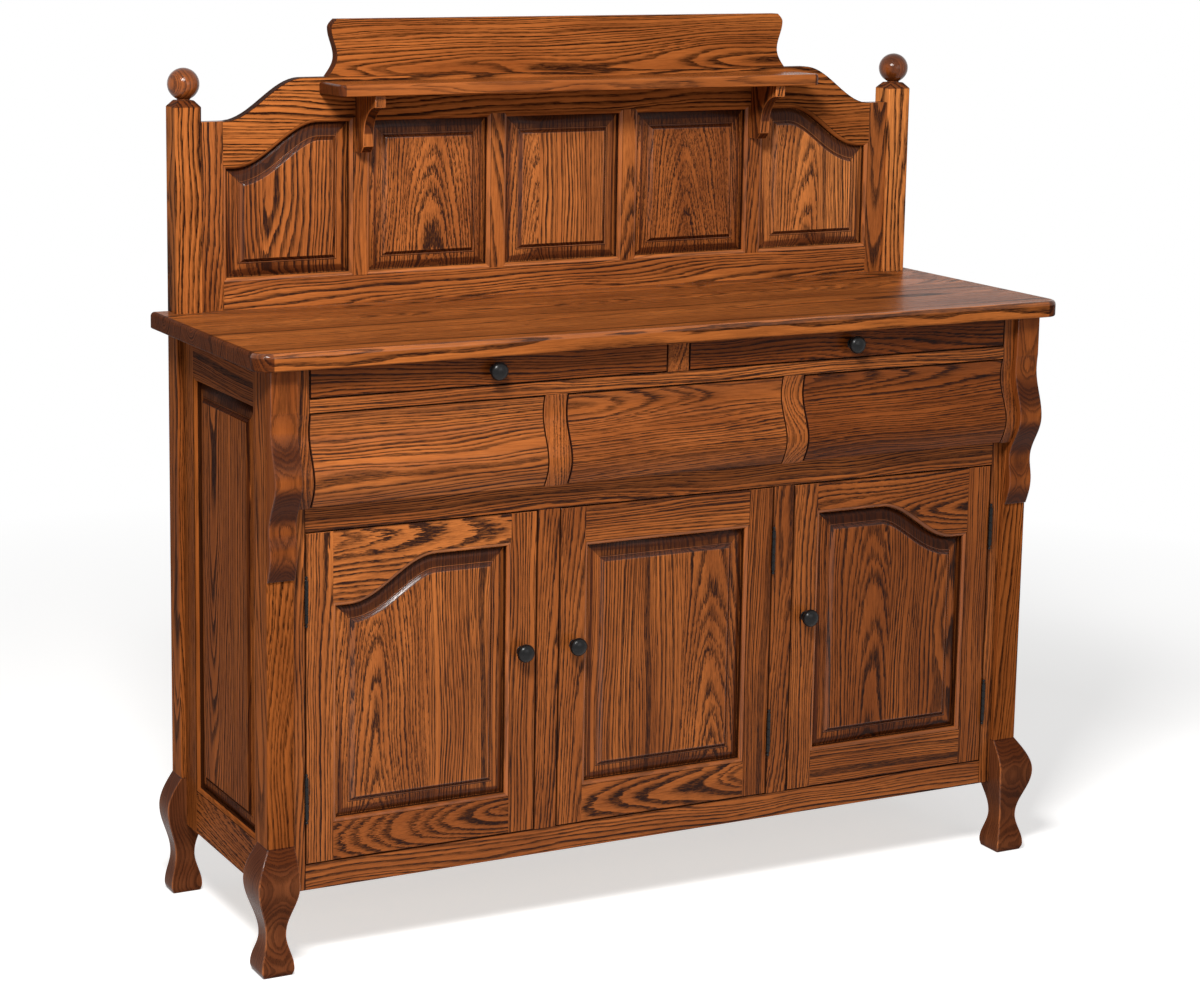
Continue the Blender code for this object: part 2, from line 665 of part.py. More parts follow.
def build_hinge(name, x, y, z):
    """Knuckle with ball tips, and the leaf that lies on the opening's edge."""
    half = HINGE_LENGTH / 2
    upper = [(HINGE_RADIUS, half), (HINGE_NECK, half)]
    for angle in spread(-math.pi / 4, math.pi / 2, EASE_STEPS)[:-1]:
        rise = HINGE_TIP * (1.0 + math.sin(angle)) / 2
        upper.append((HINGE_TIP_RADIUS * math.cos(angle), half + rise))
    upper.append((0.0, half + HINGE_TIP))
    profile = [(radius, -along) for radius, along in reversed(upper)] + upper
    hinge = turned(name, profile, (x, y, z), (0.0, 0.0, 1.0), BLACK_METAL)
    leaf = DOOR_GAP / 2 - SEAT
    leaf_half = half - HINGE_LEAF_INSET
    bm = bmesh.new()
    box_into(bm, x - leaf, x + leaf, y, Y_LOWER + HINGE_LEAF_DEPTH, z - leaf_half, z + leaf_half)
    boolean(hinge, bm, name + "_leaf", "UNION")


# Hutch


def hutch_outline():
    """Front outline of the hutch frame, with an ogee shoulder at each end."""
    shoulder = COUNTER_HEIGHT + HUTCH_SHOULDER
    half = X_IN - SEAT
    right = [(half, COUNTER_HEIGHT + SEAT), (half, shoulder)]
    for t in spread(1.0, 0.0, ARCH_STEPS):
        right.append((X_HUTCH_TOP + HUTCH_OGEE_RUN * t, shoulder + HUTCH_RISE * ease(1.0 - t)))
    return right + [(-x, z) for x, z in reversed(right)]


def hutch_windows():
    """Windows of the hutch frame, with an arch in the first and the last."""
    width = (2 * (X_IN - HUTCH_STILE) - (HUTCH_PANELS - 1) * HUTCH_MULLION) / HUTCH_PANELS
    arch_run = width - HUTCH_ARCH_LAND - HUTCH_ARCH_FLAT
    z0 = COUNTER_HEIGHT + HUTCH_BOTTOM_RAIL
    z1 = Z_HUTCH_TOP - HUTCH_TOP_RAIL
    windows = []
    for i in range(HUTCH_PANELS):
        x0 = -X_IN + HUTCH_STILE + i * (width + HUTCH_MULLION)
        high = 1 if i == 0 else -1 if i == HUTCH_PANELS - 1 else 0
        windows.append(Window(x0, x0 + width, z0, z1, HUTCH_ARCH_RISE, HUTCH_ARCH_LAND, arch_run, high))
    return windows


def build_hutch_frame():
    def place(point, depth):
        return (point[0], Y_HUTCH + depth, point[1])

    frame = extrude_y("hutch_frame", hutch_outline(), Y_HUTCH, Y_HUTCH + FRAME_THICK)
    bm = bmesh.new()
    for window in hutch_windows():
        window_cut(bm, window, place)
    boolean(frame, bm, "hutch_windows", "DIFFERENCE")
    for i, window in enumerate(hutch_windows()):
        raised_panel("hutch_panel_%d" % (i + 1), window, HUTCH_MARGIN, place)


def build_hutch_post(name, side):
    """Square post with a chamfered top and its ball finial."""
    middle = (side * (X_OUT - POST / 2), Y_BACK - POST / 2)
    top = COUNTER_HEIGHT + HUTCH_POST_HEIGHT
    loops = []
    for half, z in ((POST / 2, COUNTER_HEIGHT + SEAT), (POST / 2, top),
                    (HUTCH_POST_NECK_HALF, top + HUTCH_POST_NECK)):
        outline = chamfered(middle[0] - half, middle[0] + half, middle[1] - half, middle[1] + half)
        loops.append([(*p, z) for p in outline])
    loft("hutch_post_" + name, loops)
    start = -math.acos(FINIAL_NECK / FINIAL_RADIUS)
    lift = -FINIAL_RADIUS * math.sin(start)
    profile = [(0.0, 0.0)]
    for angle in spread(start, math.pi / 2, TURN_STEPS // 2)[:-1]:
        profile.append((FINIAL_RADIUS * math.cos(angle), lift + FINIAL_RADIUS * math.sin(angle)))
    profile.append((0.0, lift + FINIAL_RADIUS))
    seat = (*middle, top + HUTCH_POST_NECK + SEAT)
    turned("hutch_finial_" + name, profile, seat, (0.0, 0.0, 1.0), STAINED_OAK)


def build_crest():
    """Board above the hutch shelf, waisted at its ends."""
    waist = X_CREST - CREST_WAIST
    end = stations_from(X_CREST + CREST_FLARE, (CREST_WAIST_RISE, waist, rising),
                        (CREST_EAR_RISE, X_CREST, ease), (CREST_TOP_RISE, waist, falling))
    right = [(blend_along(end, rise), Z_HUTCH_TOP + SEAT + rise) for rise in positions_along(end)]
    outline = right + [(-x, z) for x, z in reversed(right)]
    extrude_y("hutch_crest", outline, Y_HUTCH, Y_HUTCH + FRAME_THICK)


def build_hutch_shelf():
    """Narrow shelf on the hutch frame, with two coved brackets on the frame's uprights."""
    top = Z_HUTCH_TOP - SHELF_DROP
    back = Y_HUTCH - SEAT
    outline = rounded_rectangle(X_CREST + SHELF_PAST_CREST, back - SHELF_DEPTH, back, SHELF_CORNER, POST_EDGE)
    extrude_z("hutch_shelf", outline, top - SHELF_THICK, top)
    depth = SHELF_DEPTH - BRACKET_SETBACK
    cove = depth - BRACKET_LEG
    profile = [(0.0, 0.0), (depth, 0.0)]
    for angle in spread(0.0, math.pi / 2, CURVE_STEPS):
        profile.append((depth - cove * math.sin(angle), BRACKET_NOSE + cove * (1 - math.cos(angle))))
    profile += [(BRACKET_LEG, BRACKET_HEIGHT - BRACKET_EASE), (BRACKET_LEG - BRACKET_EASE, BRACKET_HEIGHT),
                (0.0, BRACKET_HEIGHT)]
    under = top - SHELF_THICK - SEAT
    outline = [(back - forward, under - down) for forward, down in profile]
    windows = hutch_windows()
    for name, left, right in (("left", windows[0], windows[1]), ("right", windows[-2], windows[-1])):
        middle = (left.x1 + right.x0) / 2
        extrude_x("hutch_bracket_" + name, outline, middle - BRACKET_THICK / 2, middle + BRACKET_THICK / 2)


def build():
    for obj in list(bpy.data.objects):
        bpy.data.objects.remove(obj, do_unlink=True)
    build_counter()
    for name, side in (("left", -1), ("right", 1)):
        build_leg_post("front_leg_post_" + name, side, True)
        build_leg_post("back_leg_post_" + name, side, False)
        build_corbel("corbel_" + name, side)
        build_side(name, side)
        build_top_drawer(name, side)
        build_hutch_post(name, side)
    build_drawer_frame()
    build_face_frame()
    build_inner_boards()
    for name, centre in zip(("left", "middle", "right"), BAY_CENTRES):
        build_sleigh_drawer(name, centre)
    build_door("left", BAY_CENTRES[0], 1, -1)
    build_door("middle", BAY_CENTRES[1], 0, 1)
    build_door("right", BAY_CENTRES[2], -1, 1)
    build_hutch_frame()
    build_crest()
    build_hutch_shelf()


build()
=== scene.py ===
"""Studio scene of the oak sideboard: separate boards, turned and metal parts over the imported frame."""
import math
import random
from collections import namedtuple

import bmesh
import bpy
import numpy as np
from mathutils import Matrix, Vector


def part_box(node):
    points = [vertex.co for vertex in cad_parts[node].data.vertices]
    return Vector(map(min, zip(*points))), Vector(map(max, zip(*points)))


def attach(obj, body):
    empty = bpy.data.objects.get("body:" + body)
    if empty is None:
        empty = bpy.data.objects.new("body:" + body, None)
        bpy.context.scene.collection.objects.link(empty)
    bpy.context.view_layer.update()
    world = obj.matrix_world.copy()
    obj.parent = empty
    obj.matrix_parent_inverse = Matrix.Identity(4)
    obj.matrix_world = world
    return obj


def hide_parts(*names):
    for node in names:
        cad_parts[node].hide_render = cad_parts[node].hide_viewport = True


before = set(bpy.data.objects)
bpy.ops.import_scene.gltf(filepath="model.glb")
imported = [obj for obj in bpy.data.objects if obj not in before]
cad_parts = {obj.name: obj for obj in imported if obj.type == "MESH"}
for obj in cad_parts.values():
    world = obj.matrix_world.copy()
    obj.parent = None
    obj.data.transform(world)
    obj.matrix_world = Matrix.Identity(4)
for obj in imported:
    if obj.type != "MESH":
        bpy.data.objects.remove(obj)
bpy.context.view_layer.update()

X, Y, Z = Vector((1, 0, 0)), Vector((0, 1, 0)), Vector((0, 0, 1))
QUARTER = math.pi / 2
SIDES = (("left", -1), ("right", 1))
DOORS = ("left", "middle", "right")

# Joinery, in metres: gap at a seat, glue line, and gap round doors and drawer fronts
SEAT = 0.0003
JOINT = 0.00006
GAP = 0.002

# Rounded edges, and the steps of curves
ARRIS = 0.0012
POST_ARRIS = 0.0020
BOARD_ARRIS = 0.0010
THIN_ARRIS = 0.0008
LEAST_RADIUS = 0.0006
CLEAR = 0.0005
SHARP = math.radians(35)
TURN_STEPS = 48
ARCH_STEPS = 36
CURVE_STEPS = 14
ROUND_STEPS = 5
CORNER_STEPS = 10
LOW_STEPS = 4
MOULDING_STEPS = 6

# Marks on faces: above zero rubbed pale, wear and painted highlight; below zero painted shade in gaps, quirks
# and recesses.
# A mark above zero picks the first polish of a piece, one between POLISHED and zero its second; the faint
# ones do little else.
DARK = -1.0
EDGE_DARK = -0.9
QUIRK_DARK = -0.8
ARRIS_DARK = -0.75
SEAT_DARK = -0.7
BEVEL_SHADE = -0.6
POLISHED = -0.30
STRIP_RUBBED_HIGHLIGHT = 0.2
FAINT_RUBBED_HIGHLIGHT = 0.02
FAINT_SHADE = -0.02

Window = namedtuple("Window", "a0 a1 b0 b1 rise land run high")
Face = namedtuple("Face", "origin across up into")
Figure = namedtuple("Figure", "pith_across pith_out lean_across lean_out ring tint bold start")
Board = namedtuple("Board", "along across out centre figure")
Slab = namedtuple("Slab", "corner back_corner low_round top_round top_steps")


# Blends and curves


def ease(t):
    return 0.5 - 0.5 * math.cos(math.pi * t)


def rising(t):
    return math.sin(0.5 * math.pi * t)


def falling(t):
    return 1.0 - math.cos(0.5 * math.pi * t)


def share(value):
    return min(max(value, 0.0), 1.0)


def spread(start, end, steps):
    return [start + (end - start) * i / steps for i in range(steps + 1)]


def follow(start, stretches, blends):
    """Points (distance, value) along stretches of (length, end value), each with its blend."""
    points = [(0.0, start)]
    for (length, value), blend in zip(stretches, blends):
        p0, v0 = points[-1]
        for t in spread(0.0, 1.0, CURVE_STEPS)[1:]:
            points.append((p0 + length * t, v0 + (value - v0) * blend(t)))
    return points


def arch_height(window, a):
    """Upper edge of a window: level, or an ogee that climbs towards one side."""
    if window.high == 0:
        return window.b1
    start = a - window.a0 if window.high > 0 else window.a1 - a
    return window.b1 - window.rise * (1.0 - ease(share((start - window.land) / window.run)))


def inset_arch_height(window, a, inset):
    """Upper edge moved inwards square to itself, read at the given place across."""
    step = 1e-5
    low, high = a - abs(inset) - step, a + abs(inset) + step
    for _ in range(30):
        middle = (low + high) / 2
        slope = (arch_height(window, middle + step) - arch_height(window, middle - step)) / (2 * step)
        stretch = math.hypot(1.0, slope)
        if middle + inset * slope / stretch < a:
            low = middle
        else:
            high = middle
    return arch_height(window, middle) - inset / stretch


def window_loop(window, inset):
    a0, a1, b0 = window.a0 + inset, window.a1 - inset, window.b0 + inset
    steps = ARCH_STEPS if window.high else 1
    top = [(a, inset_arch_height(window, a, inset)) for a in spread(a1, a0, steps)]
    return [(a0, b0), (a1, b0)] + top


# Meshes


def lofted(rings, touch=None):
    """Skin a row of loops of equal length and close both ends; touch gives each face's mark."""
    bm = bmesh.new()
    wear_and_painted_light = bm.faces.layers.float.new("wear_and_painted_light")
    made = [[bm.verts.new(point) for point in ring] for ring in rings]
    count = len(made[0])
    for k, (lower, upper) in enumerate(zip(made, made[1:])):
        for i in range(count):
            j = (i + 1) % count
            face = bm.faces.new((lower[i], lower[j], upper[j], upper[i]))
            if touch:
                face[wear_and_painted_light] = touch(k, i)
    bm.faces.new(made[0])
    bm.faces.new(made[-1])
    return bm


def extruded(outline, direction, start, end):
    """Prism of an outline of points, pushed along a direction."""
    return lofted([[Vector(p) + direction * reach for p in outline] for reach in (start, end)])


def block(lo, hi):
    outline = [(lo[0], lo[1], 0), (hi[0], lo[1], 0), (hi[0], hi[1], 0), (lo[0], hi[1], 0)]
    return extruded(outline, Z, lo[2], hi[2])


def ease_edges(bm, width, segments=2, only=None, mark=1.0):
    """Round the sharp edges and mark the new faces; the default mark rubs them pale, wear and painted
    highlight.
    """
    bmesh.ops.recalc_face_normals(bm, faces=bm.faces[:])
    wear_and_painted_light = bm.faces.layers.float.get("wear_and_painted_light")
    edges = []
    for edge in bm.edges:
        if len(edge.link_faces) == 2 and edge.calc_face_angle(0.0) > SHARP and (only is None or only(edge)):
            edges.append(edge)
    made = bmesh.ops.bevel(bm, geom=edges, offset=width, offset_type="OFFSET", segments=segments, profile=0.5,
                           affect="EDGES", clamp_overlap=True)
    for face in made["faces"]:
        face[wear_and_painted_light] = mark
    return bm


def turned(profile, centre, axis, steps=TURN_STEPS):
    """Spin a profile of (radius, distance along the axis) that starts and ends on the axis."""
    side = axis.orthogonal().normalized()
    other = axis.cross(side)
    bm = bmesh.new()
    rings = []
    for radius, along in profile:
        middle = Vector(centre) + axis * along
        ring = []
        for i in range(steps if radius else 1):
            angle = 2 * math.pi * i / steps
            ring.append(bm.verts.new(middle + (side * math.cos(angle) + other * math.sin(angle)) * radius))
        rings.append(ring)
    for lower, upper in zip(rings, rings[1:]):
        for i in range(steps):
            j = (i + 1) % steps
            corners = [ring[k % len(ring)] for ring, k in ((lower, i), (lower, j), (upper, j), (upper, i))]
            bm.faces.new(list(dict.fromkeys(corners)))
    return bm


def merge(bm, other):
    """Add a second bmesh to the first."""
    mesh = bpy.data.meshes.new("merge")
    other.to_mesh(mesh)
    other.free()
    bm.from_mesh(mesh)
    bpy.data.meshes.remove(mesh)
    return bm


def arc(x, y, radius, start, steps):
    """Quarter circle of points about a centre, from a start counted in right angles."""
    angles = spread(start * QUARTER, (start + 1) * QUARTER, steps)
    return [(x + radius * math.cos(angle), y + radius * math.sin(angle)) for angle in angles]


def rounded_rectangle(half, y0, y1, front, back, inset):
    """Plan outline about x = 0, moved in by the inset, with a radius for the front and the back corners."""
    front, back = max(front - inset, LEAST_RADIUS), max(back - inset, LEAST_RADIUS)
    x = half - inset
    right = arc(x - front, y0 + inset + front, front, -1, CORNER_STEPS)
    right += arc(x - back, y1 - inset - back, back, 0, CORNER_STEPS)
    return right + [(-px, py) for px, py in reversed(right)]


def rounded_square(x0, x1, y0, y1, radius):
    """Plan outline with four rounded arrises."""
    outline = []
    for start, x, y in ((-1, x1 - radius, y0 + radius), (0, x1 - radius, y1 - radius),
                        (1, x0 + radius, y1 - radius), (2, x0 + radius, y0 + radius)):
        outline += arc(x, y, radius, start, ROUND_STEPS)
    return outline


def slab_loops(lo, hi, edge):
    """Loops of a level board with rounded corners, from its rounded lower edge to its rounded upper one."""
    low, top = edge.low_round, edge.top_round
    levels = [(lo.z + low * (1 - math.cos(a)), low * (1 - math.sin(a)))
              for a in spread(0.0, QUARTER, LOW_STEPS)]
    levels += [(hi.z - top * (1 - math.sin(a)), top * (1 - math.cos(a)))
               for a in spread(0.0, QUARTER, edge.top_steps)]
    return [[(*p, z) for p in rounded_rectangle(hi.x, lo.y, hi.y, edge.corner, edge.back_corner, inset)]
            for z, inset in levels]


# Grain: every board carries coordinates measured from the heart of its own log

RING = 0.0052
YEAR = 0.0047
SMOOTH_ANGLE = math.radians(12)

# Heights where the hearts of the low, the middle and the hutch's uprights are measured
LOW_HEART, CASE_HEART, HUTCH_HEART = 0.5, 0.8, 1.1

# How boards are sawn: the heart's place across and behind the face, and the log's lean across and out of it.
# A range on one side of zero is thrown to either side of the board.
SAWN = {
    "crown": ((-0.010, 0.010), (0.034, 0.046), (-0.02, 0.02), (0.030, 0.044)),
    "half": ((0.028, 0.045), (0.030, 0.045), (-0.02, 0.02), (0.020, 0.034)),
    "flat": ((-0.006, 0.006), (0.070, 0.090), (-0.02, 0.02), (0.010, 0.016)),
    "rift": ((0.050, 0.075), (0.045, 0.065), (-0.01, 0.01), (0.008, 0.013)),
    "straight": ((0.09, 0.16), (0.04, 0.09), (-0.010, 0.010), (-0.01, 0.01)),
}

# First seed of each group of boards
SEED = dict(counter=300, post=410, leg=418, corbel=440, side=500, face=601, drawer_frame=611,
            divider=620, end_strip=630, flat_front=701, sleigh_front=711, door=800, hutch=901, mullion=910,
            hutch_panel=920, hutch_post=950, finial=960, crest=974, shelf=981, bracket=985, inside=1001,
            back=1005)


def seed_of(name):
    """Seed from a name."""
    return sum((i + 3) * ord(c) for i, c in enumerate(name))


def figure(seed, kind="straight", tint=1.0, ring=YEAR, length=0.5, bold=1.0):
    """How a board was sawn: where the log's heart lies behind its face, and how far the log leans to it."""
    dice = random.Random(seed)
    start = dice.uniform(-30.0, 30.0)
    tint *= dice.uniform(0.93, 1.07)
    ring *= dice.uniform(0.9, 1.12)
    sign = dice.choice((-1, 1))
    heart_across, heart_behind, lean_across, lean_out = SAWN[kind]

    def thrown(low, high):
        return dice.uniform(low, high) * (sign if low > 0 else 1)

    return Figure(thrown(*heart_across), -dice.uniform(*heart_behind), thrown(*lean_across),
                  thrown(*lean_out) / (length if lean_out[0] > 0 else 1.0), ring, tint, bold, start)


def board(seed, along, across, out, centre, *cut, **more):
    return Board(along, across, out, Vector(centre), figure(seed, *cut, **more))


def read(items, field, kind=np.float32, wide=1):
    """One field of a mesh's vertices, corners or faces as an array."""
    values = np.empty(len(items) * wide, kind)
    items.foreach_get(field, values)
    return values.reshape(-1, wide) if wide > 1 else values


def lay_grain(mesh, boards, lines, split, ends, polish):
    """Write grain, tint, end grain and marks on the corners of a mesh, and pick the faces' finishes."""
    vert = read(mesh.loops, "vertex_index", np.int32)
    place = read(mesh.vertices, "co", wide=3)[vert]
    total = read(mesh.polygons, "loop_total", np.int32)
    flat = read(mesh.polygons, "normal", wide=3)
    normal = np.zeros((len(mesh.vertices), 3), np.float32)
    np.add.at(normal, vert, np.repeat(flat * read(mesh.polygons, "area")[:, None], total, 0))
    normal = (normal / np.maximum(np.linalg.norm(normal, axis=1, keepdims=True), 1e-12))[vert]
    flat = np.repeat(flat, total, 0)
    tilted = np.einsum("ij,ij->i", flat, normal) < math.cos(SMOOTH_ANGLE)
    normal[tilted] = flat[tilted]
    wear_and_painted_light = np.zeros(len(total), np.float32)
    if "wear_and_painted_light" in mesh.attributes:
        wear_and_painted_light = read(mesh.attributes["wear_and_painted_light"].data, "value")
        mesh.attributes.remove(mesh.attributes["wear_and_painted_light"])
    slot = np.zeros(len(total), np.int32)
    for finish, picked in zip(polish or (), (wear_and_painted_light > 1e-6, (wear_and_painted_light < -1e-6) & (wear_and_painted_light > POLISHED))):
        if picked.any():
            if finish.name not in mesh.materials:
                mesh.materials.append(finish)
            slot[picked] = mesh.materials.find(finish.name)
    mesh.polygons.foreach_set("material_index", slot)
    which = np.zeros(len(total), np.int32)
    if lines:
        which = np.searchsorted(np.array(lines), read(mesh.polygons, "center", wide=3) @ np.array(split))
    which = np.repeat(which, total)
    grain, lean, look = (np.zeros((len(vert), 3), np.float32) for _ in range(3))
    for index, one in enumerate(boards):
        picked = which == index
        local = place[picked] - np.array(one.centre, np.float32)
        f = one.figure
        scale = RING / f.ring
        along = local @ np.array(one.along, np.float32)
        across = local @ np.array(one.across, np.float32) - f.pith_across + f.lean_across * along
        out = local @ np.array(one.out, np.float32) - f.pith_out + f.lean_out * along
        grain[picked] = np.stack((along + f.start, across * scale, out * scale), 1)
        lean[picked] = f.bold, f.lean_across * scale, f.lean_out * scale
        look[picked, 0] = f.tint
        look[picked, 1] = ends * np.abs(normal[picked] @ np.array(one.along, np.float32))
    look[:, 2] = np.repeat(wear_and_painted_light, total)
    for name, values in (("grain", grain), ("lean", lean), ("board", look)):
        mesh.attributes.new(name, "FLOAT_VECTOR", "CORNER").data.foreach_set("vector", values.ravel())


def piece(name, bm, node, finish, slot, body="carcass", boards=None, lines=None, sharp=50.0, ends=1.0,
          polish=None, split=None):
    """Turn a bmesh in place into a finished piece that rides on a body and stands for a CAD node."""
    if lines:
        split = split or boards[0].across
        for line in lines:
            whole = bm.verts[:] + bm.edges[:] + bm.faces[:]
            bmesh.ops.bisect_plane(bm, geom=whole, plane_co=split * line, plane_no=split)
    bmesh.ops.recalc_face_normals(bm, faces=bm.faces[:])
    mesh = bpy.data.meshes.new(name)
    bm.to_mesh(mesh)
    bm.free()
    mesh.shade_smooth()
    mesh.set_sharp_from_angle(angle=math.radians(sharp))
    mesh.materials.append(finish)
    if boards:
        lay_grain(mesh, boards, lines, split, ends, polish)
    made = bpy.data.objects.new(name, mesh)
    bpy.context.collection.objects.link(made)
    shading = made.modifiers.new("even shading", "WEIGHTED_NORMAL")
    shading.keep_sharp = True
    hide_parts(node)
    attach(made, body)
    return made


# Finishes


def linear(red, green, blue):
    """Linear colour from the 0 to 255 values of a screen."""
    shares = (c / 255 for c in (red, green, blue))
    return tuple(((c + 0.055) / 1.055) ** 2.4 if c > 10 / 255 else c / 12.92 for c in shares) + (1.0,)


def grey(level):
    return (level, level, level, 1.0)


def add(tree, kind, inputs=None, **settings):
    made = tree.nodes.new(kind)
    for key, value in settings.items():
        setattr(made, key, value)
    for key, value in (inputs or {}).items():
        if isinstance(value, bpy.types.NodeSocket):
            tree.links.new(value, made.inputs[key])
        else:
            made.inputs[key].default_value = value
    return made


def sums(tree, operation, a, b=0.0, c=0.0):
    return add(tree, "ShaderNodeMath", {0: a, 1: b, 2: c}, operation=operation).outputs[0]


def vectors(tree, operation, a, b=(0.0, 0.0, 0.0)):
    made = add(tree, "ShaderNodeVectorMath", {0: a, 1: b}, operation=operation)
    return made.outputs["Value" if operation == "LENGTH" else "Vector"]


def noise(tree, vector, stretch, detail=2.0, rough=0.5, colour=False):
    scaled = vectors(tree, "MULTIPLY", vector, stretch)
    made = add(tree, "ShaderNodeTexNoise",
               {"Vector": scaled, "Scale": 1.0, "Detail": detail, "Roughness": rough})
    return made.outputs["Color" if colour else "Fac"]


def ramp(tree, value, stops):
    made = add(tree, "ShaderNodeValToRGB", {0: value})
    elements = made.color_ramp.elements
    while len(elements) < len(stops):
        elements.new(0.5)
    for element, (position, level) in zip(elements, stops):
        element.position = position
        element.color = grey(level)
    return made.outputs["Color"]


def remap(tree, value, low, high, to_low, to_high):
    return add(tree, "ShaderNodeMapRange", {0: value, 1: low, 2: high, 3: to_low, 4: to_high}).outputs[0]


def mixed(tree, factor, a, b, blend="MIX"):
    made = add(tree, "ShaderNodeMix", {0: factor, 6: a, 7: b}, data_type="RGBA", blend_type=blend)
    made.clamp_factor = True
    return made.outputs[2]


def new_finish(name):
    """Material with its node tree and shader."""
    material = bpy.data.materials.new(name)
    material.use_nodes = True
    return material, material.node_tree, material.node_tree.nodes["Principled BSDF"]


def dress(tree, shader, colour, roughness, height, strength, distance, gloss):
    """Link colour, roughness and relief to a shader, and set its gloss."""
    relief = add(tree, "ShaderNodeBump", {"Strength": strength, "Distance": distance, "Height": height})
    dressing = {"Base Color": colour, "Roughness": roughness, "Normal": relief.outputs["Normal"]}
    for socket, value in dressing.items():
        tree.links.new(value, shader.inputs[socket])
    shader.inputs["Specular IOR Level"].default_value = gloss


# Patterns in the wood: counts a metre along the grain, across it and out from the heart
VESSELS = (7.0, 560.0, 560.0)
BENDS = (2.6, 10.0, 10.0)
WAVES = (11.0, 48.0, 48.0)
PORES = (45.0, 760.0, 760.0)
BANDS = (1.6, 34.0, 34.0)
STREAKS = (9.0, 480.0, 480.0)
BLOTCHES = (4.0, 22.0, 22.0)
CLOUDS = (120.0, 120.0, 120.0)
SPECKS = (1400.0, 1400.0, 1400.0)
NOISE_MIDDLE = (0.5, 0.5, 0.5)
# How the patterns bend the rings: feathered ends, slow bends, waves, uneven years and vessels
FEATHER = 0.05
BEND_REACH = (0.0, 0.036, 0.036)
WAVE_REACH = (0.0, 0.0050, 0.0050)
YEAR_DRIFT = 0.37
YEAR_REACH = 2.6
VESSEL_REACH = 0.42
YEAR_STRENGTH = (0.75, 1.12)
# Darkness through one year's ring, from the open early wood to the dense late wood
EARLY_WOOD = ((0.0, 0.25), (0.05, 1.0), (0.32, 0.95), (0.48, 0.45), (0.66, 0.10), (0.94, 0.03))
# Where each pattern starts and is full, and how much it darkens
PORE_LIMITS = (0.38, 0.56)
BAND_LIMITS, BAND_DEPTH = (0.34, 0.56), (0.72, 1.0)
STREAK_LIMITS = (0.40, 0.58)
BLOTCH_LIMITS = (0.32, 0.68)
END_LIMITS = (0.02, 0.075)
EARLY_PORES = (0.35, 0.75)
PORE_DEPTH, STREAK_DEPTH, SHADE_DEPTH = 0.16, 0.20, 0.90
GREEN_TINT, BLUE_TINT = 1.25, 1.5
EARLY_ROUGHER = 0.08
# Strength and depth of the relief
GRAIN_RELIEF = (0.25, 0.0004)
METAL_RELIEF = (0.10, 0.0002)
METAL_TONES = (linear(7, 7, 8), linear(20, 19, 19))
METAL_CLOUDS, METAL_ROUGHNESS, METAL_GLOSS = (0.3, 0.7), (0.25, 0.32), 0.20


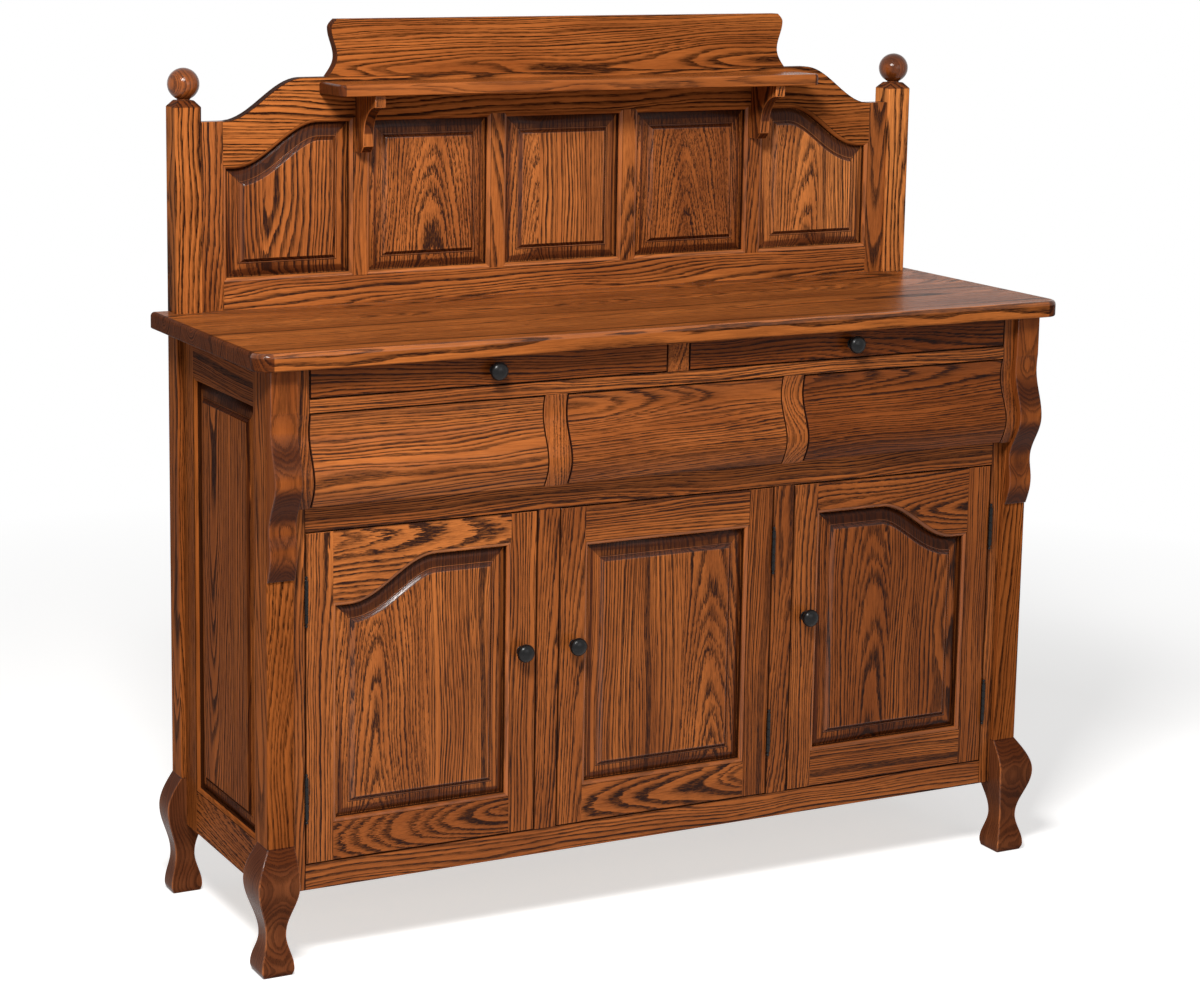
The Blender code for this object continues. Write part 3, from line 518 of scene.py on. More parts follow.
def wood(name, pale, warm, dark, depth, end_depth, wear_and_painted_light, roughness, gloss):
    """Ring-porous wood from a log: rings about the heart, pores, end grain, rubbed places that are partly
    painted highlight, and painted shade.
    """
    material, tree, shader = new_finish(name)
    grain, lean, marks = (add(tree, "ShaderNodeAttribute", attribute_name=word).outputs["Vector"]
                          for word in ("grain", "lean", "board"))
    tint, end, mark = add(tree, "ShaderNodeSeparateXYZ", {0: marks}).outputs
    bold = add(tree, "ShaderNodeSeparateXYZ", {0: lean}).outputs[0]

    def times(a, b):
        return sums(tree, "MULTIPLY", a, b)

    def times_plus(a, b, c):
        return sums(tree, "MULTIPLY_ADD", a, b, c)

    def moved(start, pattern, reach):
        return vectors(tree, "ADD", start, vectors(tree, "MULTIPLY", pattern, reach))

    def drift(place, pattern, detail):
        return vectors(tree, "SUBTRACT", noise(tree, place, pattern, detail, 0.5, True), NOISE_MIDDLE)

    # Rings about the heart, bent by slow drifts and waves and feathered by the vessels
    vessel = noise(tree, grain, VESSELS, 2.0, 0.6)
    uneven = sums(tree, "SUBTRACT", vessel, 0.5)
    place = moved(grain, lean, times(uneven, FEATHER))
    bent = moved(place, drift(place, BENDS, 1.0), BEND_REACH)
    bent = moved(bent, drift(grain, WAVES, 2.0), WAVE_REACH)
    heart = vectors(tree, "LENGTH", vectors(tree, "MULTIPLY", bent, (0.0, 1.0, 1.0)))
    rings = times(heart, 1 / RING)
    years = add(tree, "ShaderNodeTexNoise", {"W": times(rings, YEAR_DRIFT), "Scale": 1.0, "Detail": 1.0},
                noise_dimensions="1D").outputs["Fac"]
    rings = times_plus(years, YEAR_REACH, rings)
    rings = times_plus(uneven, VESSEL_REACH, rings)
    year = add(tree, "ShaderNodeTexWhiteNoise", {"W": sums(tree, "FLOOR", rings)}, noise_dimensions="1D")
    strength = remap(tree, year.outputs["Value"], 0.0, 1.0, *YEAR_STRENGTH)

    # Darkness of early wood, pores and streaks
    early = ramp(tree, sums(tree, "FRACT", rings), EARLY_WOOD)
    pores = remap(tree, noise(tree, grain, PORES, 3.0, 0.7), *PORE_LIMITS, 1.0, 0.0)
    band = remap(tree, noise(tree, grain, BANDS, 2.0), *BAND_LIMITS, *BAND_DEPTH)
    streaks = remap(tree, noise(tree, grain, STREAKS, 2.0, 0.6), *STREAK_LIMITS, 1.0, 0.0)
    darkness = times(early, times_plus(pores, *EARLY_PORES))
    darkness = times(darkness, times(band, strength))
    darkness = times_plus(pores, PORE_DEPTH, darkness)
    darkness = times_plus(streaks, STREAK_DEPTH, darkness)
    darkness = times(darkness, bold)

    # Stain, end grain, rubbed pale places (wear and painted highlight), painted shade, and the board's tint,
    # which on some boards holds painted light and shade
    blotch = remap(tree, noise(tree, grain, BLOTCHES, 3.0), *BLOTCH_LIMITS, 0.0, 1.0)
    colour = mixed(tree, blotch, warm, pale)
    colour = mixed(tree, times(darkness, depth), colour, dark)
    cut_across = remap(tree, end, *END_LIMITS, 0.0, end_depth)
    colour = mixed(tree, cut_across, colour, mixed(tree, darkness, END_GRAIN, dark))
    # Marks above zero lighten towards pale: wear and painted highlight. Marks below zero darken: painted
    # shade.
    rubbed = times(sums(tree, "MAXIMUM", mark, 0.0), times_plus(blotch, wear_and_painted_light, wear_and_painted_light * 0.5))
    colour = mixed(tree, rubbed, colour, pale)
    painted_shade = times(sums(tree, "MAXIMUM", times(mark, -1.0), 0.0), SHADE_DEPTH)
    colour = mixed(tree, painted_shade, colour, dark)
    shade = add(tree, "ShaderNodeCombineXYZ", {0: tint, 1: sums(tree, "POWER", tint, GREEN_TINT),
                                               2: sums(tree, "POWER", tint, BLUE_TINT)}).outputs[0]
    colour = mixed(tree, 1.0, colour, shade, "MULTIPLY")
    dress(tree, shader, colour, times_plus(darkness, EARLY_ROUGHER, roughness),
          sums(tree, "SUBTRACT", 1.0, darkness), *GRAIN_RELIEF, gloss)
    return material


def blackened(name):
    """Satin black finish on turned metal, slightly uneven in tone and gloss."""
    material, tree, shader = new_finish(name)
    place = add(tree, "ShaderNodeTexCoord").outputs["Object"]
    cloud = noise(tree, place, CLOUDS, 3.0)
    speck = noise(tree, place, SPECKS, 2.0)
    colour = mixed(tree, cloud, *METAL_TONES)
    roughness = remap(tree, cloud, *METAL_CLOUDS, *METAL_ROUGHNESS)
    dress(tree, shader, colour, roughness, speck, *METAL_RELIEF, METAL_GLOSS)
    return material


# Pale, warm and dark tone, then depth of the grain and of the end grain, and how far rubbed marks lighten
# (wear and painted highlight); roughness and gloss follow
END_GRAIN = linear(88, 42, 19)
OAK_TONES = (linear(187, 107, 50), linear(152, 83, 37), linear(41, 20, 12), 0.98, 0.92, 0.60)
# The legs' tones are darker than the rest: painted shade near the floor.
SHADED_LEG_TONES = (linear(128, 73, 42), linear(104, 57, 33), linear(34, 18, 13), 0.90, 0.85, 0.60)
PALE_TONES = (linear(200, 170, 131), linear(185, 151, 110), linear(140, 105, 69), 0.45, 0.25, 0.2)
OAK = wood("stained oak", *OAK_TONES, 0.20, 0.07)
SIDE_OAK = wood("matt stained oak", *OAK_TONES, 0.30, 0.004)
EDGE_OAK = wood("polished stained oak", *OAK_TONES, 0.13, 0.22)
TOP_OAK = wood("rubbed stained oak", *OAK_TONES, 0.24, 0.014)
SHADED_LEG_OAK = wood("stained oak with painted shade", *SHADED_LEG_TONES, 0.18, 0.016)
PALE = wood("drawer wood", *PALE_TONES, 0.45, 0.2)
BLACK = blackened("satin black")


def oak(name, bm, node, boards, lines=None, finish=OAK, polish=None, **more):
    if finish in (OAK, TOP_OAK):
        polish = polish or (EDGE_OAK, EDGE_OAK)
    return piece(name, bm, node, finish, "stained_oak", boards=boards, lines=lines, polish=polish, **more)


def pale(name, bm, node, boards, lines=None, body="carcass"):
    return piece(name, bm, node, PALE, "drawer_wood", body, boards, lines)


def metal(name, bm, node, body="carcass"):
    return piece(name, bm, node, BLACK, "black_metal", body, sharp=35.0)


# Geometry Nodes: repeated fittings


def copies_tree(name, sizes, points):
    """Tree that sets copies of the object's own mesh on points made from its named sizes."""
    tree = bpy.data.node_groups.new(name, "GeometryNodeTree")
    for word, kind in {"Geometry": "Geometry", **sizes, "Material": "Material"}.items():
        tree.interface.new_socket(word, in_out="INPUT", socket_type="NodeSocket" + kind)
    tree.interface.new_socket("Geometry", in_out="OUTPUT", socket_type="NodeSocketGeometry")
    given = tree.nodes.new("NodeGroupInput").outputs
    copies = add(tree, "GeometryNodeInstanceOnPoints",
                 {"Points": points(tree, given), "Instance": given["Geometry"]})
    real = add(tree, "GeometryNodeRealizeInstances", {0: copies.outputs[0]})
    dressed = add(tree, "GeometryNodeSetMaterial",
                  {"Geometry": real.outputs[0], "Material": given["Material"]})
    tree.links.new(dressed.outputs[0], tree.nodes.new("NodeGroupOutput").inputs[0])
    return tree


def row_points(tree, given):
    return add(tree, "GeometryNodeMeshLine", {"Count": given["Count"], "Offset": given["Step"]}).outputs[0]


def border_points(tree, given):
    path = add(tree, "GeometryNodeCurvePrimitiveQuadrilateral",
               {"Width": given["Width"], "Height": given["Height"]})
    standing = add(tree, "GeometryNodeTransform",
                   {"Geometry": path.outputs[0], "Rotation": (QUARTER, 0.0, 0.0)})
    return add(tree, "GeometryNodeCurveToPoints", {"Curve": standing.outputs[0], "Length": given["Spacing"]},
               mode="LENGTH").outputs[0]


ROW = copies_tree("row of copies", {"Count": "Int", "Step": "Vector"}, row_points)
BORDER = copies_tree("border of copies", {"Width": "Float", "Height": "Float", "Spacing": "Float"},
                     border_points)


def repeated(bm, tree, **values):
    """Run a tree on a mesh and give back the plain result."""
    mesh = bpy.data.meshes.new("copy")
    bmesh.ops.recalc_face_normals(bm, faces=bm.faces[:])
    bm.to_mesh(mesh)
    bm.free()
    holder = bpy.data.objects.new("copies", mesh)
    modifier = holder.modifiers.new("copies", "NODES")
    modifier.node_group = tree
    for item in tree.interface.items_tree:
        if item.in_out == "INPUT" and item.name in values:
            modifier[item.identifier] = values[item.name]
    bpy.context.collection.objects.link(holder)
    graph = bpy.context.evaluated_depsgraph_get()
    result = bpy.data.meshes.new_from_object(holder.evaluated_get(graph))
    holder.modifiers.clear()
    made = bmesh.new()
    made.from_mesh(result)
    bpy.data.objects.remove(holder)
    bpy.data.meshes.remove(result)
    return made


# Frame-and-panel work

TONGUE = 0.0057
GROOVE_FRONT = 0.0118
GROOVE_BACK = 0.0165
GROOVE_DEPTH = 0.006
STICKING = 0.0066
STICKING_FILLET = 0.0009
STICKING_QUIRK = 0.0007
BEVEL_START = 0.0006
BEVEL_WIDTH = 0.0196
BEVEL_STEPS = 10
BEVEL_STEEP = 29.0
BEVEL_SOFTENING = 24.5
BEVEL_EASE_START, BEVEL_EASE_RUN = 0.12, 0.5
BEAD_RADIUS = 0.0008
BEAD_DEPTH = 0.0067
BEAD_INSET = 0.0222
FLANK_INSET = 0.0238
FLANK_WIDTH = 0.0052
FLANK_SWELL = 0.3
PANEL_FIELD = 0.002
PANEL_MARGIN = 0.030
EDGE_STAGE = 0.0003
# Marks of the sticking's round and the panel's bead, flank and field edge: rubbed pale with painted
# highlight, painted shade on the flank
ROUND_RUBBED_HIGHLIGHT, ROUND_RUBBED_HIGHLIGHT_TO = 0.6, 1.2
BEAD_RUBBED_HIGHLIGHT, FLANK_SHADE, FIELD_RUBBED_HIGHLIGHT = 0.3, -0.25, 0.1


def sticking_stages():
    """Moulded edge: depth under the face, inset from the window, and mark on the strip that follows; painted
    shade in the quirks and at the foot of the round, rubbed pale with painted highlight on the rest of it.
    """
    start = -STICKING + STICKING_QUIRK
    stages = [(0.0, -STICKING, DARK), (STICKING_FILLET, -STICKING, QUIRK_DARK),
              (STICKING_FILLET, start, ROUND_RUBBED_HIGHLIGHT)]
    for turn in spread(0.0, QUARTER, MOULDING_STEPS)[1:]:
        stages.append((STICKING_FILLET + (STICKING - STICKING_FILLET) * (1 - math.cos(turn)),
                       start + (STICKING - STICKING_QUIRK) * math.sin(turn),
                       ROUND_RUBBED_HIGHLIGHT if turn < ROUND_RUBBED_HIGHLIGHT_TO else DARK))
    return stages + [(GROOVE_FRONT, 0.0, DARK), (GROOVE_FRONT, -GROOVE_DEPTH, 0.0),
                     (GROOVE_BACK, -GROOVE_DEPTH, 0.0), (GROOVE_BACK, 0.0, 0.0)]


def panel_stages():
    """Raised panel in the same terms: tongue, bevel, bead between two lines of painted shade, flank and
    field.
    """
    depth = GROOVE_FRONT + SEAT
    stages = [(GROOVE_BACK - SEAT, -TONGUE, 0.0), (depth, -TONGUE, 0.0), (depth, SEAT, SEAT_DARK)]
    for step in range(BEVEL_STEPS + 1):
        t = step / BEVEL_STEPS
        mark = BEVEL_SHADE if step < BEVEL_STEPS else DARK
        stages.append((depth, SEAT + BEVEL_START + BEVEL_WIDTH * t, mark))
        slope = BEVEL_STEEP - BEVEL_SOFTENING * ease(share((t - BEVEL_EASE_START) / BEVEL_EASE_RUN))
        depth -= BEVEL_WIDTH / BEVEL_STEPS * math.tan(math.radians(slope))
    for step, turn in enumerate(spread(0.0, math.pi, MOULDING_STEPS)):
        stages.append((BEAD_DEPTH - BEAD_RADIUS * math.sin(turn), BEAD_INSET - BEAD_RADIUS * math.cos(turn),
                       BEAD_RUBBED_HIGHLIGHT if step < MOULDING_STEPS else DARK))
    for step, t in enumerate(spread(0.0, 1.0, MOULDING_STEPS)):
        swell = t * (1.0 + FLANK_SWELL * (1.0 - t))
        stages.append((BEAD_DEPTH - (BEAD_DEPTH - PANEL_FIELD) * swell, FLANK_INSET + FLANK_WIDTH * t,
                       FLANK_SHADE if step < MOULDING_STEPS else FIELD_RUBBED_HIGHLIGHT))
    return stages + [(PANEL_FIELD, PANEL_MARGIN, 0.0)]


STICK = sticking_stages()
PANEL = panel_stages()
EVEN = spread(0.0, 1.0, 1)
CURVED = spread(0.0, 1.0, ARCH_STEPS)


def at(face, a, b, depth):
    return face.origin + face.across * a + face.up * b + face.into * depth


def window_of(node, axis, arch=(0.0, 0.0, 0.0), high=0):
    """Opening round a panel's solid, whose tongue lies in the frame; the arch is its rise, land and flat."""
    lo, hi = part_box(node)
    a0, a1 = lo[axis] + TONGUE, hi[axis] - TONGUE
    rise, land, flat = arch
    return Window(a0, a1, lo.z + TONGUE, hi.z - TONGUE, rise, land, a1 - a0 - land - flat, high)


def eased_front(depth):
    """How far an outer edge lies back at a depth under the face."""
    return 0.0 if depth >= ARRIS else ARRIS - math.sqrt(ARRIS ** 2 - (ARRIS - depth) ** 2)


def stile(face, outer, inner, b0, b1, thick):
    """Upright of a frame, with sticking along its inner edge."""
    s = 1.0 if inner > outer else -1.0
    section = [(outer, ARRIS), (outer + s * 0.3 * ARRIS, 0.3 * ARRIS), (outer + s * ARRIS, 0.0)]
    # Painted shade on the outer arris and side by the gap, then the front, the sticking's marks and the back
    shade_and_highlight = [QUIRK_DARK, SEAT_DARK, 0.0] + [mark for _, _, mark in STICK] + [0.0, DARK]
    section += [(inner + s * inset, depth) for depth, inset, _ in STICK]
    section += [(inner, thick), (outer, thick)]
    bm = lofted([[at(face, a, b, depth) for a, depth in section] for b in (b0, b1)], lambda k, i: shade_and_highlight[i])

    def at_end(edge):
        ends = [(v.co - face.origin).dot(face.up) for v in edge.verts]
        return abs(ends[0] - ends[1]) < 1e-6

    return ease_edges(bm, THIN_ARRIS, only=at_end)


def rail(face, a0, a1, outer, inner, thick, samples=EVEN):
    """Cross board with coped ends: outer(a, back) is its free edge and inner(a, inset) its moulded one."""
    stages = [STICK[0], (EDGE_STAGE, -STICKING, DARK)] + STICK[1:] + [(thick, 0.0, 0.0)]
    rings = []
    for depth, inset, _ in stages:
        back = eased_front(depth)
        places = [a0 + inset + JOINT + (a1 - a0 - 2 * inset - 2 * JOINT) * t for t in samples]
        free = [(a, outer(a, back)) for a in places]
        moulded = [(a, inner(a, inset)) for a in reversed(places)]
        rings.append([at(face, a, b, depth) for a, b in free + moulded])
    count = len(samples)

    # The moulded edge keeps the sticking's marks; the free edge and its arris get painted shade.
    def touch(k, i):
        if count <= i < 2 * count - 1:
            return stages[k][2]
        if i < count - 1:
            return SEAT_DARK if stages[k][0] < ARRIS / 2 else DARK
        return 0.0

    return lofted(rings, touch)


def raised_panel(face, window):
    rings = [[at(face, a, b, depth) for a, b in window_loop(window, inset)] for depth, inset, _ in PANEL]
    last = len(rings[0]) - 1

    def shade_and_highlight(k, i):
        """Painted shade in the lines round the field and on the bevel under the top rail, painted highlight
        on the bead and the field's edge.
        """
        mark = PANEL[k][2]
        return 0.0 if mark == BEVEL_SHADE and not 1 < i < last else mark

    return lofted(rings, shade_and_highlight)


def staves(face, window, seed, widths, kinds, tint, ring=YEAR):
    """Boards that a panel is glued from, and the lines between them, measured along the panel's width."""
    total = sum(widths)
    lines, boards = [], []
    a = window.a0 - TONGUE
    span = window.a1 - window.a0 + 2 * TONGUE
    for i, (width, kind) in enumerate(zip(widths, kinds)):
        centre = at(face, a + span * width / total / 2, (window.b0 + window.b1) / 2, 0.0)
        a += span * width / total
        lines.append(face.origin.dot(face.across) + a)
        boards.append(board(seed + 17 * i, face.up, face.across, -face.into, centre, kind, tint, ring,
                            window.b1 - window.b0))
    return boards, lines[:-1]


def upright(face, seed, a, b, *cut):
    return [board(seed, face.up, face.across, -face.into, at(face, a, b, 0.0), *cut, length=0.6)]


def level(face, seed, a, b, *cut, length=0.3):
    return [board(seed, face.across, face.up, -face.into, at(face, a, b, 0.0), *cut, length=length)]


def framed_panel(names, nodes, face, edges, window, thick, seed, hearts, cuts, top_eased=1.0, **more):
    """Two stiles, two rails and a raised panel, from the places of their hearts and their cuts."""
    a0, a1, b0, b1 = edges
    left, right, along, inward = hearts
    middle = (window.b0 + window.b1) / 2
    frame_node, panel_node = nodes
    made = (
        (stile(face, a0, window.a0, b0, b1, thick), upright(face, seed, left, middle, *cuts[0])),
        (stile(face, a1, window.a1, b0, b1, thick), upright(face, seed + 1, right, middle, *cuts[1])),
        (rail(face, window.a0, window.a1, lambda a, back: b1 - back * top_eased,
              lambda a, inset: inset_arch_height(window, a, inset), thick, CURVED if window.high else EVEN),
         level(face, seed + 2, along, b1 - inward, *cuts[2])),
        (rail(face, window.a0, window.a1, lambda a, back: b0 + back,
              lambda a, inset: window.b0 + inset, thick),
         level(face, seed + 3, along, b0 + inward, *cuts[3])),
    )
    for name, (bm, boards) in zip(names, made):
        oak(name, bm, frame_node, boards, **more)
    oak(names[4], raised_panel(face, window), panel_node, *staves(face, window, seed + 5, *cuts[4]), **more)


# Planes that the pieces share, from the solids

counter_low, counter_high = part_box("counter_top")
post_low, post_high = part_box("hutch_post_right")
X_OUT, X_IN = post_high.x, post_low.x
Y_BACK, Y_BACK_POST = post_high.y, post_low.y
POST = X_OUT - X_IN
Y_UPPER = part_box("top_drawer_front_left")[0].y
Y_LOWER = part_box("face_frame")[0].y
Y_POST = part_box("corbel_left")[1].y + SEAT
Z_CASE = counter_low.z
Z_COUNTER = counter_high.z
FRAME_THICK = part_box("face_frame")[1].y - Y_LOWER
DOOR_BOXES = [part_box("door_frame_" + name) for name in DOORS]
DOOR_OPENINGS = [(lo.x - GAP, hi.x + GAP) for lo, hi in DOOR_BOXES]
DIVIDER_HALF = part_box("top_drawer_front_right")[0].x - GAP
S_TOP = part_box("sleigh_drawer_front_middle")[1].z + GAP


# Counter

COUNTER_EDGE = Slab(0.028, 0.006, 0.003, 0.007, 8)
COUNTER_TINT = 1.05
COUNTER_RUBBED_HIGHLIGHT = 0.15
# Width and kind of its boards from the front backwards
COUNTER_BOARDS = ((0.088, "straight"), (0.071, "half"), (0.094, "straight"), (0.066, "crown"),
                  (0.083, "half"), (0.065, "straight"))


def build_counter():
    rings = slab_loops(counter_low, counter_high, COUNTER_EDGE)
    lines, boards, y = [], [], counter_low.y
    for i, (width, kind) in enumerate(COUNTER_BOARDS):
        centre = (0.0, y + width / 2, Z_COUNTER)
        boards.append(board(SEED["counter"] + i, X, Y, Z, centre, kind, COUNTER_TINT))
        y += width
        lines.append(y)
    first_round = len(rings) - 1 - COUNTER_EDGE.top_steps
    sides = len(rings[0])

    def polished(k, i):
        """Rounded upper edge along the front and round its two corners, rubbed pale with painted highlight
        and polished; the ends stay matt with a faint painted shade.
        """
        here, there = rings[k][i], rings[k][(i + 1) % sides]
        if min(here[1], there[1]) < counter_low.y + COUNTER_EDGE.corner:
            return COUNTER_RUBBED_HIGHLIGHT if k >= first_round else 0.0
        at_end = abs(here[0] + there[0]) / 2 > counter_high.x - 2 * COUNTER_EDGE.top_round
        return FAINT_SHADE if at_end else 0.0

    oak("counter_boards", lofted(rings, polished), "counter_top", boards, lines[:-1], finish=TOP_OAK,
        polish=(EDGE_OAK, SIDE_OAK))


# Posts, legs, corbels

# Shaped legs from the floor up: height of each stretch, bulge outwards and pinch inwards at its end
LEG_SOLE = (0.012, 0.009)
LEG_CURVE = ((0.012, 0.016, 0.0065), (0.051, 0.0055, 0.016), (0.082, 0.024, 0.0), (0.055, 0.0, 0.0))
SOLE_EASE = 0.0015
LEG_LINE = 0.002
LEG_CUT = dict(kind="flat", tint=0.89, ring=0.0034, bold=0.6)
POST_CUT = dict(kind="half", tint=0.84, ring=0.0044, bold=0.85)

# Scrolled corbels from the block down: height of each stretch, and how far its end stands before the post
CORBEL_BLOCK = 0.065
CORBEL_PROUD = 0.009
CORBEL_CURVE = ((0.023, 0.017), (0.082, 0.036), (0.073, 0.0095), (0.037, 0.0145), (0.043, 0.003))
CORBEL_ARRIS = 0.0016
SCROLL_FACING = 0.4
CORBEL_CUT = dict(kind="flat", tint=0.59, ring=0.0032, bold=0.62)


def build_posts():
    bulges = follow(LEG_SOLE[0], [(run, bulge) for run, bulge, _ in LEG_CURVE], (rising, ease, ease, falling))
    pinches = follow(LEG_SOLE[1], [(run, pinch) for run, _, pinch in LEG_CURVE], (rising, ease, ease, ease))
    stages = [(0.0, LEG_SOLE[0] - SOLE_EASE, LEG_SOLE[1] + SOLE_EASE), (SOLE_EASE, *LEG_SOLE)]
    stages += [(z, bulge, pinch) for (z, bulge), (_, pinch) in zip(bulges[1:], pinches[1:])]
    stages.append((Z_CASE - SEAT, 0.0, 0.0))
    leg_top = bulges[-1][0] - LEG_LINE

    def leg_shade_and_arris(k, i):
        """Painted shade on the leg's faces through the darker leg finish, and arrises faintly rubbed pale
        with painted highlight.
        """
        if stages[k][0] > leg_top:
            return 0.0
        return FAINT_RUBBED_HIGHLIGHT if i % (ROUND_STEPS + 1) < ROUND_STEPS else FAINT_SHADE

    for side_name, side in SIDES:
        for place, front in (("front", True), ("back", False)):
            rings = []
            for z, bulge, pinch in stages:
                xs = sorted((side * (X_OUT + bulge), side * (X_IN + pinch)))
                ys = (Y_POST - bulge, Y_POST + POST - pinch) if front else (Y_BACK_POST + pinch, Y_BACK)
                rings.append([(*p, z) for p in rounded_square(*xs, *ys, POST_ARRIS)])
            heart = (side * (X_OUT + X_IN) / 2, Y_POST if front else Y_BACK, LOW_HEART)
            cuts = [board(SEED[word] + side + 7 * front, Z, X, -Y if front else Y, heart, **cut)
                    for word, cut in (("leg", LEG_CUT), ("post", POST_CUT))]
            oak("%s_post_and_leg_%s" % (place, side_name), lofted(rings, leg_shade_and_arris),
                "%s_leg_post_%s" % (place, side_name), cuts, [leg_top], sharp=60.0, finish=SIDE_OAK,
                ends=0.15, polish=(EDGE_OAK, SHADED_LEG_OAK), split=Z)


def build_corbels():
    curve = follow(Y_POST - Y_UPPER + CORBEL_PROUD, CORBEL_CURVE, (rising, ease, ease, ease, falling))
    top, back = Z_CASE - SEAT, Y_POST - SEAT
    face = [(Y_POST - out, Z_CASE - CORBEL_BLOCK - down) for down, out in curve]
    outline = [(face[0][0], top)] + face + [(back, face[-1][1]), (back, top)]
    for side_name, side in SIDES:
        node = "corbel_" + side_name
        lo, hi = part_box(node)
        bm = extruded([(0.0, y, z) for y, z in outline], X, lo.x, hi.x)
        # Arrises faintly rubbed pale with painted highlight; front-facing scroll faces take a faint painted
        # shade and the glossier finish.
        ease_edges(bm, CORBEL_ARRIS, 3, lambda e: max(v.co.y for v in e.verts) < back - CLEAR, FAINT_RUBBED_HIGHLIGHT)
        bm.normal_update()
        wear_and_painted_light = bm.faces.layers.float.get("wear_and_painted_light")
        for scroll in bm.faces:
            if scroll[wear_and_painted_light] == 0.0 and scroll.normal.y < -SCROLL_FACING:
                scroll[wear_and_painted_light] = FAINT_SHADE
        cut = board(SEED["corbel"] + side, Z, X, -Y, ((lo.x + hi.x) / 2, lo.y, CASE_HEART), **CORBEL_CUT)
        oak("scrolled_" + node, bm, node, [cut], finish=SIDE_OAK, ends=0.22, polish=(EDGE_OAK, OAK))


# Sides, with cleats for the shelf

# Front and back stile, top and bottom rail as kind, tint and ring,
# then the panel's staves as widths, kinds, tint and ring
# Their tints are low: the boards' tone with painted shade that keeps the side dimmer than the front.
SIDE_CUTS = (("straight", 0.76), ("half", 0.76), ("straight", 0.68), ("half", 0.80),
             ((0.42, 0.58), ("straight", "crown"), 0.74, 0.0046))
SIDE_PARTS = ("front_stile", "back_stile", "top_rail", "bottom_rail", "raised_panel")
SIDE_RAIL_HEART = 0.04
CLEAT_WIDTH, CLEAT_HEIGHT = 0.014, 0.025


def build_sides():
    for side_name, side in SIDES:
        node, panel_node = "side_frame_" + side_name, "side_panel_" + side_name
        lo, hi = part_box(node)
        outer_x = hi.x if side > 0 else lo.x
        face = Face(Vector((outer_x, 0.0, 0.0)), Y, Z, Vector((-side, 0.0, 0.0)))
        window = window_of(panel_node, 1)
        seed = SEED["side"] + 40 * (side > 0)
        framed_panel(["side_%s_%s" % (part, side_name) for part in SIDE_PARTS], (node, panel_node), face,
                     (lo.y, hi.y, lo.z, hi.z), window, FRAME_THICK, seed, (lo.y, hi.y, 0.0, SIDE_RAIL_HEART),
                     SIDE_CUTS, top_eased=0.0, finish=SIDE_OAK)
        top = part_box("cupboard_shelf")[0].z - SEAT
        x_wall = outer_x - side * FRAME_THICK
        xs = sorted((x_wall, x_wall - side * CLEAT_WIDTH))
        for part, start, end in (("front", lo.y, window.a0), ("back", window.a1, hi.y)):
            bm = block((xs[0], start + SEAT, top - CLEAT_HEIGHT), (xs[1], end - SEAT, top))
            pale("shelf_cleat_%s_%s" % (part, side_name), ease_edges(bm, BOARD_ARRIS), node,
                 [board(seed + 9, Y, Z, -X * side, (x_wall, start, top))])


# Face frames

# S-shaped fronts from the top down: height of each stretch, and how far its end stands before the upper frame
SLEIGH_CURVE = ((0.029, -0.0045), (0.0735, 0.0165), (0.041, 0.0010))
SLEIGH_HEART = 0.01
EDGE_FACING = 0.25
DRAWER_FRAME_TINT = 0.95
DIVIDER_CUT = dict(kind="rift", tint=0.84, ring=0.0044, bold=0.8)
END_STRIP_CUT = dict(kind="straight", tint=0.90)


def plank(name, lo, hi, along, seed, node, kind, tint, **more):
    """Flat oak board with eased edges, its face to the front."""
    lo, hi = Vector(lo), Vector(hi)
    # Arrises and narrow faces in painted shade for the gap round the board.
    bm = dark_edges(ease_edges(block(lo, hi), THIN_ARRIS, mark=ARRIS_DARK))
    front = (lo + hi) / 2 - Y * (hi.y - lo.y) / 2
    cut = board(seed, along, along.cross(-Y), -Y, front, kind, tint, length=abs((hi - lo).dot(along)))
    return oak(name, bm, node, [cut], **more)


def dark_edges(bm):
    """Mark the narrow faces round a board with painted shade, where the gap beside it stays dark."""
    wear_and_painted_light = bm.faces.layers.float.get("wear_and_painted_light")
    bm.normal_update()
    for face in bm.faces:
        if abs(face.normal.y) < EDGE_FACING:
            face[wear_and_painted_light] = EDGE_DARK
    return bm


def sleigh_face(gap):
    """Points (y, z) of the S-shaped face, from the gap under the opening's top to the gap over its foot."""
    curve = follow(0.0, SLEIGH_CURVE, (rising, ease, falling))
    total = curve[-1][0]
    points = [(Y_UPPER - out, S_TOP - down) for down, out in curve if gap <= down <= total - gap]
    return [(points[0][0], S_TOP - gap)] + points[1:-1] + [(points[-1][0], S_TOP - total + gap)]


